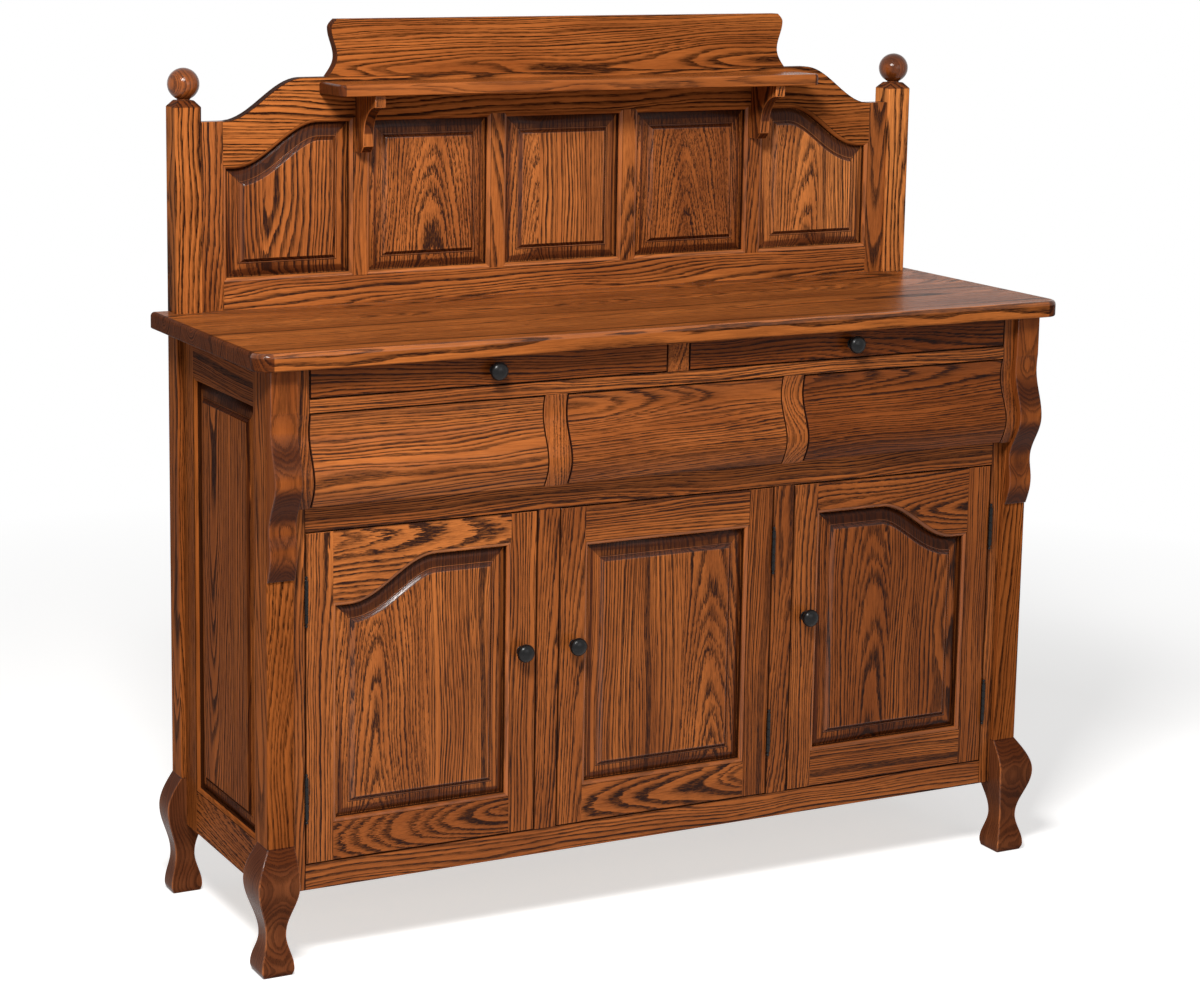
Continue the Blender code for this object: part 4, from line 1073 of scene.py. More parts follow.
def build_face_frames():
    lo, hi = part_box("face_frame")
    z0, z1 = DOOR_BOXES[0][0].z - GAP, DOOR_BOXES[0][1].z + GAP
    left, right = DOOR_OPENINGS[0][0], DOOR_OPENINGS[2][1]
    between = [(DOOR_OPENINGS[i][1], DOOR_OPENINGS[i + 1][0]) for i in range(2)]
    across, between_z = (left + JOINT, right - JOINT), (z0 + JOINT, z1 - JOINT)
    # Name, span across, span up, grain, kind and tint
    planks = (
        ("stile_left", (lo.x, left), (lo.z, hi.z), Z, "straight", 0.95),
        ("stile_right", (right, hi.x), (lo.z, hi.z), Z, "straight", 0.95),
        ("bottom_rail", across, (lo.z, z0), X, "half", 0.90),
        ("middle_rail", across, (z1, hi.z), X, "straight", 0.80),
        ("mullion_left", between[0], between_z, Z, "half", 0.86),
        ("mullion_right", between[1], between_z, Z, "half", 0.86),
    )
    for i, (name, xs, zs, along, kind, tint) in enumerate(planks):
        plank("face_" + name, (xs[0], lo.y, zs[0]), (xs[1], hi.y, zs[1]), along, SEED["face"] + i,
              "face_frame", kind, tint)

    frame_low, frame_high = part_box("drawer_frame")
    rail_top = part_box("top_drawer_front_left")[0].z - GAP
    deep = Y_UPPER + FRAME_THICK
    planks = (
        ("rail", across, (S_TOP, rail_top), X, "straight"),
        ("divider", (-DIVIDER_HALF, DIVIDER_HALF), (rail_top + JOINT, frame_high.z), Z, "half"),
    )
    for i, (name, xs, zs, along, kind) in enumerate(planks):
        plank("drawer_" + name, (xs[0], Y_UPPER, zs[0]), (xs[1], deep, zs[1]), along,
              SEED["drawer_frame"] + i, "drawer_frame", kind, DRAWER_FRAME_TINT)

    s_face = sleigh_face(0.0)
    foot = [(deep, s_face[-1][1])]
    low_top, high_top = S_TOP - JOINT, frame_high.z
    divider = [(deep, low_top), (Y_UPPER, low_top)] + s_face[1:] + foot
    end_strip = [(deep, high_top), (Y_UPPER, high_top)] + s_face + foot
    strips = ((frame_low.x, left), (right, frame_high.x))
    for word, outline, spans, cut, ends in (("divider", divider, between, DIVIDER_CUT, 0.05),
                                            ("end_strip", end_strip, strips, END_STRIP_CUT, 0.10)):
        for i, (start, end) in enumerate(spans):
            # Arrises rubbed pale with painted highlight; narrow faces in painted shade for the gap beside
            # them.
            bm = extruded([(0.0, y, z) for y, z in outline], X, start, end)
            heart = (start, Y_UPPER - SLEIGH_HEART, CASE_HEART)
            oak("sleigh_%s_%s" % (word, SIDES[i][0]),
                dark_edges(ease_edges(bm, BOARD_ARRIS, mark=STRIP_RUBBED_HIGHLIGHT)), "drawer_frame",
                [board(SEED[word] + i, Z, X, -Y, heart, **cut)], ends=ends)


# Drawers

BOX_WALL, BOX_FLOOR = 0.012, 0.006
BOX_FLOOR_LIFT = 0.0005
BOX_FLOOR_ARRIS = 0.0004
# Corner pins: how far they stand out of the side and reach into it, and their wedge from the front backwards
PIN_PROUD, PIN_SUNK = 0.00005, 0.0020
PIN_WEDGE = ((0.0004, -0.17), (0.0100, -0.30), (0.0100, 0.30), (0.0004, 0.17))
PIN_TINT = 0.80
FLAT_PINS, SLEIGH_PINS = 2, 4
# Top drawers tinted dark, the right one darkest: their tone, a painted shadow of the counter, and painted
# fall-off of the light from the left.
FLAT_TINTS_AND_SHADOW = (0.63, 0.44)
# Sleigh fronts tinted darker to the right: painted fall-off of the light from the left over their tone.
SLEIGH_TINTS_AND_SHADE = (1.03, 0.83, 0.58)
SLEIGH_CUT = dict(kind="rift", ring=0.0040, bold=0.95)

# Turned knob: rosette and stem in (radius, height), the stem's hollow, and the head
KNOB_ROSETTE = [(0.0, 0.0), (0.0082, 0.0), (0.0085, 0.0004), (0.0085, 0.0011), (0.0080, 0.0016),
                (0.0066, 0.0019)]
STEM_STEPS, HEAD_STEPS = 5, 16
KNOB_STEM, KNOB_HOLLOW = 0.0060, 0.0008
KNOB_STEM_START, KNOB_STEM_SHORT = 0.0022, 0.0026
KNOB_WAIST = 0.30
KNOB_UNDERCUT = math.radians(-58)
KNOB_CROWN = 0.92


def drawer_box(name, body, node, pins):
    """Box of thin pale boards: sides, a front and back between them, a bottom, and front corner pins."""
    lo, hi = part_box(node)
    x0, x1, y0, y1 = lo.x + BOX_WALL, hi.x - BOX_WALL, lo.y + BOX_WALL, hi.y - BOX_WALL
    seed, middle = seed_of(name), (lo.x + hi.x) / 2
    parts = (
        ("side_left", lo, (x0, hi.y, hi.z), board(seed + 1, Y, Z, X, (lo.x, 0.0, hi.z))),
        ("side_right", (x1, lo.y, lo.z), hi, board(seed, Y, Z, X, (x1, 0.0, hi.z))),
        ("box_front", (x0 + JOINT, lo.y, lo.z), (x1 - JOINT, y0, hi.z),
         board(seed + 3, X, Z, -Y, (lo.x, lo.y, hi.z), "half")),
        ("box_back", (x0 + JOINT, y1, lo.z), (x1 - JOINT, hi.y, hi.z),
         board(seed + 3, X, Z, -Y, (lo.x, y1, hi.z), "half")),
        ("bottom", (x0, y0, lo.z + BOX_FLOOR_LIFT), (x1, y1, lo.z + BOX_FLOOR),
         board(seed + 5, Y, X, Z, (middle, 0.0, lo.z), "crown")),
    )
    for part, low, high, cut in parts:
        arris = BOX_FLOOR_ARRIS if part == "bottom" else BOARD_ARRIS
        pale("%s_%s" % (name, part), ease_edges(block(low, high), arris), node, [cut], body=body)
    tall = (hi.z - lo.z) / pins
    shape = bmesh.new()
    outline = [(0.0, lo.y + back, lo.z + tall * (0.5 + t)) for back, t in PIN_WEDGE]
    for start, end in ((lo.x - PIN_PROUD, lo.x + PIN_SUNK), (hi.x - PIN_SUNK, hi.x + PIN_PROUD)):
        merge(shape, extruded(outline, X, start, end))
    shape = repeated(shape, ROW, Count=pins, Step=(0.0, 0.0, tall), Material=PALE)
    pale("%s_corner_pins" % name, shape, node, [board(seed + 8, X, Z, -Y, lo, "half", PIN_TINT)], body=body)


def knob(name, body, node):
    """Turned knob with a rosette, a waisted stem and a mushroom head."""
    lo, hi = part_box(node)
    radius, length = (hi.x - lo.x) / 2, hi.y - lo.y
    waist = KNOB_WAIST * length
    profile = list(KNOB_ROSETTE)
    for t in spread(0.0, 1.0, STEM_STEPS):
        profile.append((KNOB_STEM - KNOB_HOLLOW * math.sin(math.pi * t),
                        KNOB_STEM_START + (waist - KNOB_STEM_SHORT) * t))
    for angle in spread(KNOB_UNDERCUT, QUARTER, HEAD_STEPS)[:-1]:
        profile.append((radius * math.cos(angle) ** KNOB_CROWN,
                        waist + (length - waist) * (1.0 + math.sin(angle)) / 2))
    profile.append((0.0, length))
    metal(name, turned(profile, ((lo.x + hi.x) / 2, hi.y, (lo.z + hi.z) / 2), -Y), node, body)


def build_drawers():
    for i, (name, _) in enumerate(SIDES):
        body, node = "top_drawer_" + name, "top_drawer_front_" + name
        plank("flat_drawer_front_" + name, *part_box(node), X, SEED["flat_front"] + i, node, "half",
              FLAT_TINTS_AND_SHADOW[i], body=body)
        drawer_box("flat_drawer_" + name, body, "top_drawer_box_" + name, FLAT_PINS)
        knob("flat_drawer_knob_" + name, body, "top_drawer_knob_" + name)
    face = sleigh_face(GAP)
    for i, name in enumerate(DOORS):
        body, node = "sleigh_drawer_" + name, "sleigh_drawer_front_" + name
        lo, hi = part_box(node)
        outline = [(0.0, y, z) for y, z in [(hi.y, face[0][1])] + face + [(hi.y, face[-1][1])]]
        # Arrises and narrow faces in painted shade for the gaps round the front.
        bm = ease_edges(extruded(outline, X, lo.x, hi.x), BOARD_ARRIS, mark=ARRIS_DARK)
        cut = board(SEED["sleigh_front"] + i, X, Z, -Y, ((lo.x + hi.x) / 2, Y_UPPER, (lo.z + hi.z) / 2),
                    tint=SLEIGH_TINTS_AND_SHADE[i], length=hi.x - lo.x, **SLEIGH_CUT)
        oak("sleigh_front_" + name, dark_edges(bm), node, [cut], body=body)
        drawer_box("sleigh_drawer_" + name, body, "sleigh_drawer_box_" + name, SLEIGH_PINS)


# Doors

DOOR_ARCH = (0.065, 0.022, 0.120)
DOOR_RAIL_HEART = 0.03
DOOR_PARTS = ("stile_left", "stile_right", "top_rail", "bottom_rail", "raised_panel")
# Side that each door's arch climbs to, and its boards in the terms of the sides' cuts
DOOR_HIGH = (1, 0, -1)
# The right-hand door's boards are tinted darker: painted fall-off of the light from the left over their tone.
DOOR_CUTS = (
    (("half", 0.97), ("straight", 0.91), ("crown", 1.14, 0.0085), ("crown", 0.78),
     ((0.54, 0.46), ("crown", "straight"), 0.97)),
    (("half", 0.85), ("straight", 0.72), ("straight", 0.92), ("crown", 0.94, 0.0075),
     ((0.60, 0.40), ("straight", "crown"), 0.90)),
    (("half", 0.90), ("straight", 0.74), ("half", 0.84, 0.0050), ("straight", 0.84, 0.0045),
     ((0.5, 0.5), ("half", "rift"), 0.68)),
)

# Barrel hinge: knuckles on a pin, ball tips in (radius, height), and the leaf
HINGE_RADIUS, HINGE_TIP = 0.0032, 0.0070
KNUCKLES = 5
KNUCKLE_GAP, KNUCKLE_EASE = 0.0004, 0.0005
HINGE_PIN = 0.0024
KNUCKLE_TURNS, PIN_TURNS, TIP_STEPS = 24, 20, 9
TIP_NECK = [(0.0, -0.0006), (0.0021, -0.0006), (0.0021, 0.0004), (0.0015, 0.0012)]
TIP_BALL, TIP_BALL_TALL, TIP_CENTRE = 0.00245, 0.0024, 0.0046
TIP_START = math.radians(-48)
LEAF_HALF, LEAF_SHORT, LEAF_ARRIS = 0.0007, 0.0033, 0.0002


def build_doors():
    for i, (name, (lo, hi)) in enumerate(zip(DOORS, DOOR_BOXES)):
        body, nodes = "door_" + name, ("door_frame_" + name, "door_panel_" + name)
        face = Face(Vector((0.0, lo.y, 0.0)), X, Z, Y)
        window = window_of(nodes[1], 0, DOOR_ARCH, DOOR_HIGH[i])
        a0, a1 = window.a0, window.a1
        hearts = ((lo.x + a0) / 2, (hi.x + a1) / 2, (a0 + a1) / 2, DOOR_RAIL_HEART)
        framed_panel(["door_%s_%s" % (part, name) for part in DOOR_PARTS], nodes, face,
                     (lo.x, hi.x, lo.z, hi.z), window, hi.y - lo.y, SEED["door"] + 30 * i, hearts,
                     DOOR_CUTS[i], body=body)
        knob("door_pull_" + name, body, "door_knob_" + name)
        for height in ("upper", "lower"):
            hinge("barrel_hinge_%s_%s" % (name, height), "hinge_%s_%s" % (name, height))


def hinge(name, node):
    """Barrel of knuckles on a pin with ball tips, and the leaf in the gap."""
    lo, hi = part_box(node)
    x, y = (lo.x + hi.x) / 2, lo.y + HINGE_RADIUS
    bottom, top = lo.z + HINGE_TIP, hi.z - HINGE_TIP
    tall = (top - bottom) / KNUCKLES
    low, high = KNUCKLE_GAP, tall - KNUCKLE_GAP
    inner = HINGE_RADIUS - KNUCKLE_EASE
    knuckle = [(0.0, low), (inner, low), (HINGE_RADIUS, low + KNUCKLE_EASE),
               (HINGE_RADIUS, high - KNUCKLE_EASE), (inner, high), (0.0, high)]
    bm = repeated(turned(knuckle, (x, y, bottom), Z, KNUCKLE_TURNS), ROW, Count=KNUCKLES,
                  Step=(0.0, 0.0, tall), Material=BLACK)
    pin = [(0.0, 0.0), (HINGE_PIN, 0.0), (HINGE_PIN, top - bottom), (0.0, top - bottom)]
    merge(bm, turned(pin, (x, y, bottom), Z, PIN_TURNS))
    tip = list(TIP_NECK)
    for angle in spread(TIP_START, QUARTER, TIP_STEPS)[:-1]:
        tip.append((TIP_BALL * math.cos(angle), TIP_CENTRE + TIP_BALL_TALL * math.sin(angle)))
    tip.append((0.0, HINGE_TIP))
    for base, axis in ((top, Z), (bottom, -Z)):
        merge(bm, turned(tip, (x, y, base), axis, PIN_TURNS))
    leaf = block((x - LEAF_HALF, y, bottom + LEAF_SHORT), (x + LEAF_HALF, hi.y, top - LEAF_SHORT))
    merge(bm, ease_edges(leaf, LEAF_ARRIS, 1))
    metal(name, bm, node)


# Hutch

HUTCH_ARCH = (0.070, 0.014, 0.053)
HUTCH_LEVEL_HALF = 0.473
HUTCH_OGEE_RUN = 0.135
HUTCH_OGEE_DROP = 0.066
HUTCH_RAIL_STEPS = 150
HUTCH_HIGH = (1, 0, 0, 0, -1)
RAIL_LENGTH = 1.3
STILE_HEART, LOW_RAIL_HEART, TOP_RAIL_HEART = 0.02, 0.025, 0.02
ARCH_REACH = 0.03
MULLION_KINDS = ("straight", "crown", "crown", "half")
MULLION_TINT, MULLION_RING = 1.0, 0.0058
# Left and right stile, bottom and top rail as kind, tint and ring; then the panels' staves
HUTCH_CUTS = (("half", 1.0), ("crown", 0.97), ("half", 1.12, 0.0042), ("half", 1.0, 0.0060))
# The last panel's tint is raised: painted light where the lamp from the left lights the hutch's right end
# less.
HUTCH_STAVES = (
    ((0.30, 0.70), ("straight", "rift"), 0.97, 0.0060),
    ((1.0,), ("crown",), 1.18),
    ((0.30, 0.70), ("half", "straight"), 1.26, 0.0042),
    ((1.0,), ("crown",), 0.92),
    ((0.55, 0.45), ("half", "straight"), 1.54),
)

# Hutch posts with a chamfered top, and the ball finials on them
NECK, NECK_HALF = 0.010, 0.013
SOFT_LOW, SOFT_IN, SOFT_UP = 0.0008, 0.0006, 0.0004
# The right post's tint is raised: painted light, so it shows as bright as the left one under the lamp from
# the left.
HUTCH_POST_TINT_AND_LIGHT = {"left": 1.04, "right": 1.68}
HUTCH_POST_RING = 0.0080
FINIAL_NECK, FINIAL_RIM, FINIAL_STEP = 0.0105, 0.0010, 0.0001
FINIAL_STEPS = 28
FINIAL_CUT = dict(kind="straight", tint=0.60, ring=0.0036, bold=0.7)

# Crest with waisted ends, plate shelf, and its coved brackets
CREST_FLARE, CREST_WAIST, CREST_ARRIS = 0.006, 0.010, 0.0014
CREST_RISES = (0.032, 0.046, 0.014)
CREST_HEART = -0.1
CREST_CUT = dict(kind="half", ring=0.0034, length=0.9, bold=0.95)
SHELF_EDGE = Slab(0.010, 0.002, 0.0025, 0.004, 6)
SHELF_HEART = 0.03
SHELF_CUT = dict(kind="straight", ring=0.0036, length=1.2, bold=0.7)
BRACKET_NOSE, BRACKET_LEG, BRACKET_CUT = 0.019, 0.033, 0.011
BRACKET_RING = 0.0070
COVE_STEPS = 16


def hutch_top(x):
    """Height of the hutch frame's upper outline."""
    t = share((abs(x) - HUTCH_LEVEL_HALF) / HUTCH_OGEE_RUN)
    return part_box("hutch_frame")[1].z - HUTCH_OGEE_DROP * ease(t)


def build_hutch():
    node = "hutch_frame"
    lo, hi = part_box(node)
    face = Face(Vector((0.0, lo.y, 0.0)), X, Z, Y)
    thick = hi.y - lo.y
    windows = [window_of("hutch_panel_%d" % (i + 1), 0, HUTCH_ARCH, high)
               for i, high in enumerate(HUTCH_HIGH)]
    first, last = windows[0], windows[-1]
    seed, shoulder, middle = SEED["hutch"], hutch_top(X_IN), (first.b0 + first.b1) / 2

    def under(a, inset):
        """Moulded lower edge of the top rail."""
        for window in (first, last):
            if window.a0 - ARCH_REACH < a < window.a1 + ARCH_REACH:
                return inset_arch_height(window, a, inset)
        return first.b1 - inset

    oak("hutch_stile_left", stile(face, lo.x, first.a0, lo.z, shoulder, thick), node,
        upright(face, seed, lo.x + STILE_HEART, middle, *HUTCH_CUTS[0]))
    oak("hutch_stile_right", stile(face, hi.x, last.a1, lo.z, shoulder, thick), node,
        upright(face, seed + 1, hi.x - STILE_HEART, middle, *HUTCH_CUTS[1]))
    oak("hutch_bottom_rail",
        rail(face, first.a0, last.a1, lambda a, back: lo.z, lambda a, inset: first.b0 + inset, thick), node,
        level(face, seed + 2, 0.0, lo.z + LOW_RAIL_HEART, *HUTCH_CUTS[2], length=RAIL_LENGTH))
    oak("hutch_top_rail",
        rail(face, first.a0, last.a1, lambda a, back: hutch_top(a) - back, under, thick,
             spread(0.0, 1.0, HUTCH_RAIL_STEPS)), node,
        level(face, seed + 3, 0.0, hi.z - TOP_RAIL_HEART, *HUTCH_CUTS[3], length=RAIL_LENGTH),
        finish=SIDE_OAK)
    for i, (left, right) in enumerate(zip(windows, windows[1:])):
        rings = []
        for depth, inset, _ in STICK + [(thick, 0.0, 0.0)]:
            a0, a1 = left.a1 - inset, right.a0 + inset
            b0, b1 = left.b0 + inset + JOINT, left.b1 - inset - JOINT
            rings.append([at(face, a, b, depth) for a, b in ((a0, b0), (a1, b0), (a1, b1), (a0, b1))])
        bm = lofted(rings, lambda k, side: STICK[k][2] if side in (1, 3) else 0.0)
        heart = (left.a1 + right.a0) / 2
        oak("hutch_mullion_%d" % (i + 1), bm, node,
            upright(face, SEED["mullion"] + i, heart, middle, MULLION_KINDS[i], MULLION_TINT, MULLION_RING))
    for i, (window, layout) in enumerate(zip(windows, HUTCH_STAVES)):
        oak("hutch_raised_panel_%d" % (i + 1), raised_panel(face, window), "hutch_panel_%d" % (i + 1),
            *staves(face, window, SEED["hutch_panel"] + 5 * i, *layout))
    for side_name, _ in SIDES:
        hutch_post(side_name)
    crest()
    shelf()
    for i, (side_name, _) in enumerate(SIDES):
        bracket(side_name, SEED["bracket"] + i)


def hutch_post(side_name):
    """Square post with a chamfered top and a ball finial."""
    node = "hutch_post_" + side_name
    lo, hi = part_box(node)
    cx, cy = (lo.x + hi.x) / 2, (lo.y + hi.y) / 2
    half, chamfer = POST / 2, hi.z - NECK
    stages = ((half, lo.z), (half, chamfer - SOFT_LOW), (half - SOFT_IN, chamfer + SOFT_UP),
              (NECK_HALF + SOFT_LOW, hi.z - SOFT_LOW), (NECK_HALF - SOFT_IN, hi.z))
    rings = [[(*p, z) for p in rounded_square(cx - reach, cx + reach, cy - reach, cy + reach, POST_ARRIS)]
             for reach, z in stages]
    cut = board(SEED["hutch_post"] + seed_of(side_name), Z, X, -Y, (cx, lo.y, HUTCH_HEART), "half",
                HUTCH_POST_TINT_AND_LIGHT[side_name], HUTCH_POST_RING)
    oak("hutch_corner_post_" + side_name, lofted(rings), node, [cut], sharp=34.0, finish=SIDE_OAK, ends=0.15)

    node = "hutch_finial_" + side_name
    low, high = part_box(node)
    radius = (high.x - low.x) / 2
    middle = high.z - radius
    profile = [(0.0, 0.0), (FINIAL_NECK, 0.0), (FINIAL_NECK, FINIAL_RIM)]
    for angle in spread(-math.acos(FINIAL_NECK / radius), QUARTER, FINIAL_STEPS)[:-1]:
        along = middle - low.z + radius * math.sin(angle)
        if along > FINIAL_RIM + FINIAL_STEP:
            profile.append((radius * math.cos(angle), along))
    profile.append((0.0, high.z - low.z))
    cut = board(SEED["finial"] + seed_of(side_name), Z, X, -Y, (cx, cy - radius, middle), **FINIAL_CUT)
    oak("ball_finial_" + side_name, turned(profile, (cx, cy, low.z), Z), node, [cut], sharp=70.0,
        finish=EDGE_OAK, ends=0.06)


def crest():
    lo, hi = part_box("hutch_crest")
    base = hi.x - CREST_FLARE
    reaches = (base - CREST_WAIST, base, base - CREST_WAIST)
    end = follow(base + CREST_FLARE, zip(CREST_RISES, reaches), (rising, ease, falling))
    right = [(x, lo.z + rise) for rise, x in end]
    outline = right + [(-x, z) for x, z in reversed(right)]
    bm = extruded([(x, 0.0, z) for x, z in outline], Y, lo.y, hi.y)
    ease_edges(bm, CREST_ARRIS, 3, lambda e: min(v.co.z for v in e.verts) > lo.z + CLEAR)
    heart = (CREST_HEART, lo.y, (lo.z + hi.z) / 2)
    cut = board(SEED["crest"], X, Z, -Y, heart, **CREST_CUT)
    oak("crest_board", bm, "hutch_crest", [cut], finish=SIDE_OAK)


def shelf():
    lo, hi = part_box("hutch_shelf")
    oak("plate_shelf", lofted(slab_loops(lo, hi, SHELF_EDGE)), "hutch_shelf",
        [board(SEED["shelf"], X, Y, Z, (0.0, lo.y + SHELF_HEART, hi.z), **SHELF_CUT)])


def bracket(side_name, seed):
    node = "hutch_bracket_" + side_name
    lo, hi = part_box(node)
    depth, height = hi.y - lo.y, hi.z - lo.z
    cove = depth - BRACKET_LEG
    profile = [(0.0, 0.0), (depth, 0.0)]
    for angle in spread(0.0, QUARTER, COVE_STEPS):
        profile.append((depth - cove * math.sin(angle), BRACKET_NOSE + cove * (1 - math.cos(angle))))
    profile += [(BRACKET_LEG, height - BRACKET_CUT), (BRACKET_LEG - BRACKET_CUT, height), (0.0, height)]
    outline = [(0.0, hi.y - forward, hi.z - down) for forward, down in profile]
    bm = extruded(outline, X, lo.x, hi.x)
    ease_edges(bm, ARRIS, only=lambda e: max(v.co.y for v in e.verts) < hi.y - CLEAR)
    oak("shelf_bracket_" + side_name, bm, node,
        [board(seed, Z, Y, X, (lo.x, hi.y, hi.z), "half", ring=BRACKET_RING)])


# Inside

INNER_THICK = 0.019
INNER_TINT, GUIDE_TINT = 0.97, 0.95
GUIDE_SETBACK = 0.014
BACK_ARRIS = 0.0006
BACK_CUT = dict(kind="crown", tint=0.90, ring=0.009)
SCREW_EDGE, SCREW_SPACING, SCREW_SUNK = 0.014, 0.15, 0.0001
SCREW_TURNS = 16
SCREW_HEAD = ((0.0, 0.0), (0.0030, 0.0), (0.0034, 0.0004), (0.0032, 0.0010), (0.0022, 0.0016), (0.0, 0.0018))


def build_inside():
    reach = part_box("sleigh_drawer_web")[1].x - GUIDE_SETBACK
    open_x = DOOR_OPENINGS[2][1]
    ends = [(-reach, -open_x), (open_x, reach)]
    sleigh = [(DOOR_OPENINGS[i][1], DOOR_OPENINGS[i + 1][0]) for i in range(2)]
    boards = (("cupboard_bottom", "bottom_board", ()), ("cupboard_inner_shelf", "cupboard_shelf", ()),
              ("sleigh_drawer_dust_board", "sleigh_drawer_web", sorted(ends + sleigh)),
              ("flat_drawer_dust_board", "top_drawer_web", sorted(ends + [(-DIVIDER_HALF, DIVIDER_HALF)])))
    for i, (name, node, guides) in enumerate(boards):
        inner_board(name, node, SEED["inside"] + i, guides)
    lo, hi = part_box("back_panel")
    middle = (lo + hi) / 2
    pale("back_board", ease_edges(block(lo, hi), BACK_ARRIS), "back_panel",
         [board(SEED["back"], Z, X, Y, (middle.x, hi.y, LOW_HEART), **BACK_CUT)])
    screw = turned(SCREW_HEAD, (middle.x, hi.y - SCREW_SUNK, middle.z), Y, SCREW_TURNS)
    screws = repeated(screw, BORDER, Width=hi.x - lo.x - 2 * SCREW_EDGE, Height=hi.z - lo.z - 2 * SCREW_EDGE,
                      Spacing=SCREW_SPACING, Material=BLACK)
    metal("back_board_screws", screws, "back_panel")


def inner_board(name, node, seed, guides):
    """Board between the side frames, cut round the four posts, with the guides that drawers run between."""
    lo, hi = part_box(node)
    top = lo.z + INNER_THICK
    notch = X_IN - SEAT
    front, back = Y_POST + POST + SEAT, Y_BACK_POST - SEAT
    right = [(notch, lo.y), (notch, front), (hi.x, front), (hi.x, back), (notch, back), (notch, hi.y)]
    outline = right + [(-x, y) for x, y in reversed(right)]
    bm = ease_edges(extruded([(x, y, 0.0) for x, y in outline], Z, lo.z, top), THIN_ARRIS)
    lines = spread(lo.y, hi.y, 4)
    boards = [board(seed + 31 * i, X, Y, Z, (0.0, (a + b) / 2, top), ("half", "straight")[i % 2], INNER_TINT)
              for i, (a, b) in enumerate(zip(lines, lines[1:]))]
    pale(name, bm, node, boards, lines[1:-1])
    for i, (x0, x1) in enumerate(guides):
        strip = ease_edges(block((x0, front, top), (x1, back, hi.z)), ARRIS)
        pale("%s_guide_%d" % (name, i + 1), strip, node,
             [board(seed + 7 * i, Y, X, Z, (x0, 0.0, hi.z), "straight", GUIDE_TINT)])


# Studio

WHITE = grey(1.0)
ROOM_COLOUR = (1.0, 0.985, 0.965, 1.0)
ROOM_LIGHT = 0.25
FLOOR_HALF = 8.0
FLOOR_GRIT = (60.0, 60.0, 60.0)
FLOOR_TONES = (grey(0.80), grey(0.84))
FLOOR_GLOW = 0.54
FLOOR_FADE = (1.5, 3.0)
# Name, place, aim, size, power and colour
LAMPS = (
    ("key lamp", (-1.5, -1.75, 2.8), (0.0, 0.0, 0.75), (0.8, 0.6), 106.0, (1.0, 0.985, 0.965)),
    ("fill lamp", (0.8, -4.6, 2.0), (0.0, 0.0, 0.7), (2.4, 1.8), 29.0, (1.0, 0.99, 0.98)),
)
# Place, yaw, pitch and roll in degrees, lens and sensor in millimetres
CAMERA_PLACE = Vector((-2.1546, -3.8692, 1.6165))
CAMERA_TURN = (25.733, 9.963, 0.468)
CAMERA_LENS, CAMERA_SENSOR = 82.10, 36.0
CAMERA_SHIFT = (0.120, -0.100)


def rays(tree, *kinds):
    """One for rays of the given kinds, nought for others."""
    path = add(tree, "ShaderNodeLightPath").outputs
    seen = path[kinds[0]]
    for kind in kinds[1:]:
        seen = sums(tree, "MAXIMUM", seen, path[kind])
    return seen


def light_room():
    world = bpy.data.worlds.new("studio")
    bpy.context.scene.world = world
    world.use_nodes = True
    tree = world.node_tree
    tree.nodes.clear()
    seen = rays(tree, "Is Camera Ray", "Is Transmission Ray", "Is Glossy Ray")
    room = add(tree, "ShaderNodeBackground", {"Color": ROOM_COLOUR, "Strength": ROOM_LIGHT})
    white = add(tree, "ShaderNodeBackground", {"Color": WHITE, "Strength": 1.0})
    both = add(tree, "ShaderNodeMixShader", {0: seen, 1: room.outputs[0], 2: white.outputs[0]})
    tree.links.new(both.outputs[0], add(tree, "ShaderNodeOutputWorld").inputs[0])


def hang_lamps():
    for name, place, aim, size, power, colour in LAMPS:
        light = bpy.data.lights.new(name, "AREA")
        light.shape = "RECTANGLE"
        light.size, light.size_y = size
        light.energy = power
        light.color = colour
        lamp = bpy.data.objects.new(name, light)
        lamp.location = place
        lamp.rotation_mode = "QUATERNION"
        lamp.rotation_quaternion = (Vector(aim) - Vector(place)).to_track_quat("-Z", "Y")
        bpy.context.collection.objects.link(lamp)


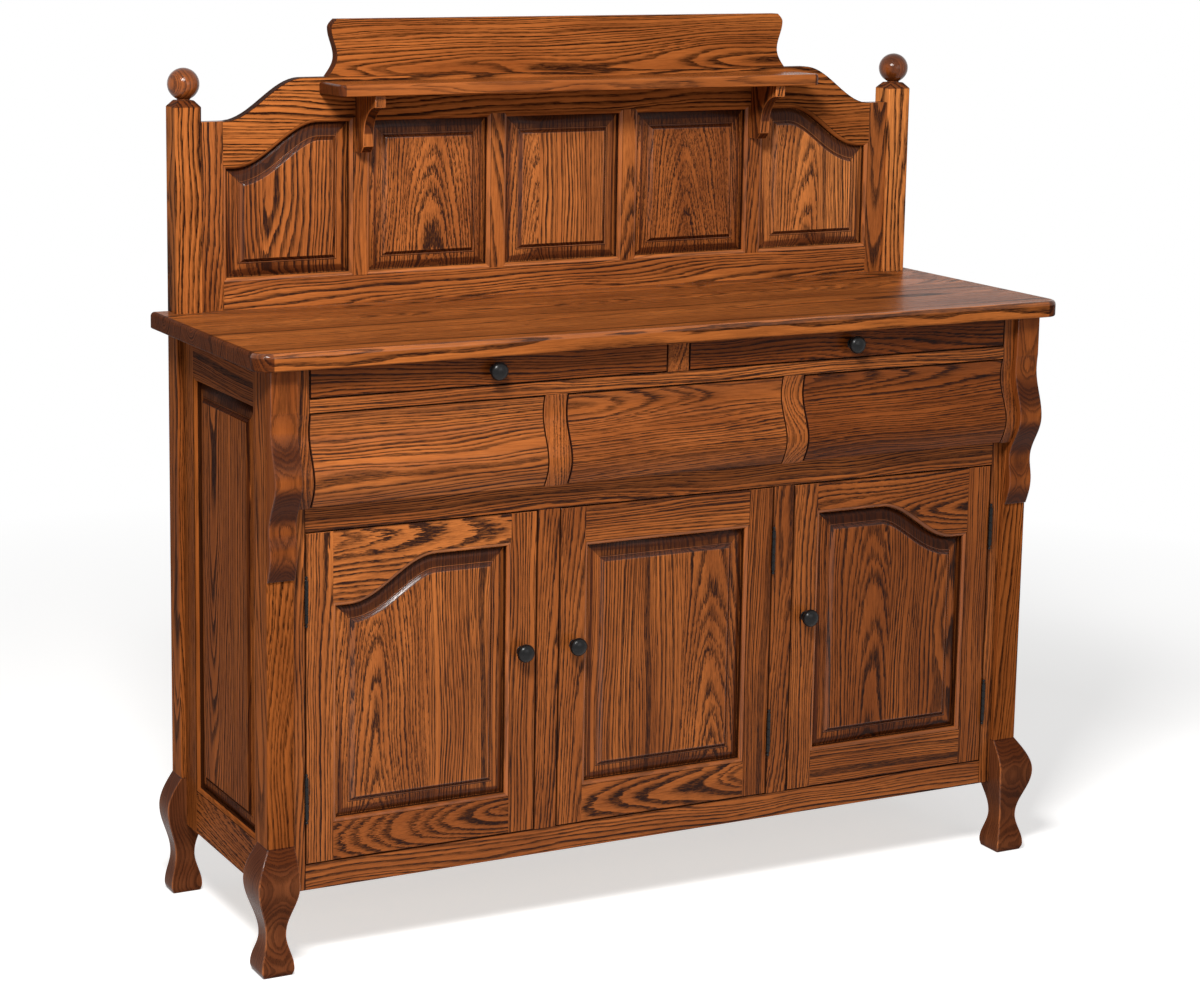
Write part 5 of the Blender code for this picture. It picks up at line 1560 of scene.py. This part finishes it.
def pale_floor():
    """Matt floor that keeps the shadow near the object and fades to white away from it."""
    material, tree, _ = new_finish("pale floor")
    tree.nodes.clear()
    seen = rays(tree, "Is Camera Ray", "Is Glossy Ray")
    place = add(tree, "ShaderNodeTexCoord").outputs["Object"]
    tone = mixed(tree, noise(tree, place, FLOOR_GRIT, 3.0), *FLOOR_TONES)
    matt = add(tree, "ShaderNodeBsdfDiffuse", {"Color": tone})
    strength = sums(tree, "MULTIPLY", seen, FLOOR_GLOW)
    glow = add(tree, "ShaderNodeEmission", {"Color": WHITE, "Strength": strength})
    lit = add(tree, "ShaderNodeAddShader", {0: matt.outputs[0], 1: glow.outputs[0]})
    sheet = add(tree, "ShaderNodeEmission", {"Color": WHITE, "Strength": 1.0})
    away = remap(tree, vectors(tree, "LENGTH", place), *FLOOR_FADE, 0.0, 1.0)
    fade = sums(tree, "MULTIPLY", away, seen)
    both = add(tree, "ShaderNodeMixShader", {0: fade, 1: lit.outputs[0], 2: sheet.outputs[0]})
    tree.links.new(both.outputs[0], add(tree, "ShaderNodeOutputMaterial").inputs[0])
    return material


def lay_floor():
    bm = bmesh.new()
    bmesh.ops.create_grid(bm, x_segments=2, y_segments=2, size=FLOOR_HALF)
    mesh = bpy.data.meshes.new("studio_floor")
    bm.to_mesh(mesh)
    bm.free()
    mesh.materials.append(pale_floor())
    floor = bpy.data.objects.new("studio_floor", mesh)
    bpy.context.collection.objects.link(floor)


def set_camera():
    data = bpy.data.cameras.new("camera")
    data.sensor_width = CAMERA_SENSOR
    data.lens = CAMERA_LENS
    data.shift_x, data.shift_y = CAMERA_SHIFT
    camera = bpy.data.objects.new("camera", data)
    yaw, pitch, roll = (math.radians(angle) for angle in CAMERA_TURN)
    ahead = Vector((math.sin(yaw) * math.cos(pitch), math.cos(yaw) * math.cos(pitch), -math.sin(pitch)))
    right = ahead.cross(Z).normalized()
    upward = right.cross(ahead)
    tilted_right = right * math.cos(roll) + upward * math.sin(roll)
    tilted_up = upward * math.cos(roll) - right * math.sin(roll)
    turn = Matrix((tilted_right, tilted_up, -ahead)).transposed().to_4x4()
    camera.matrix_world = Matrix.Translation(CAMERA_PLACE) @ turn
    bpy.context.collection.objects.link(camera)
    bpy.context.scene.camera = camera


build_counter()
build_posts()
build_corbels()
build_sides()
build_face_frames()
build_drawers()
build_doors()
build_hutch()
build_inside()
bpy.context.scene.view_settings.view_transform = "Standard"
light_room()
lay_floor()
hang_lamps()
set_camera()
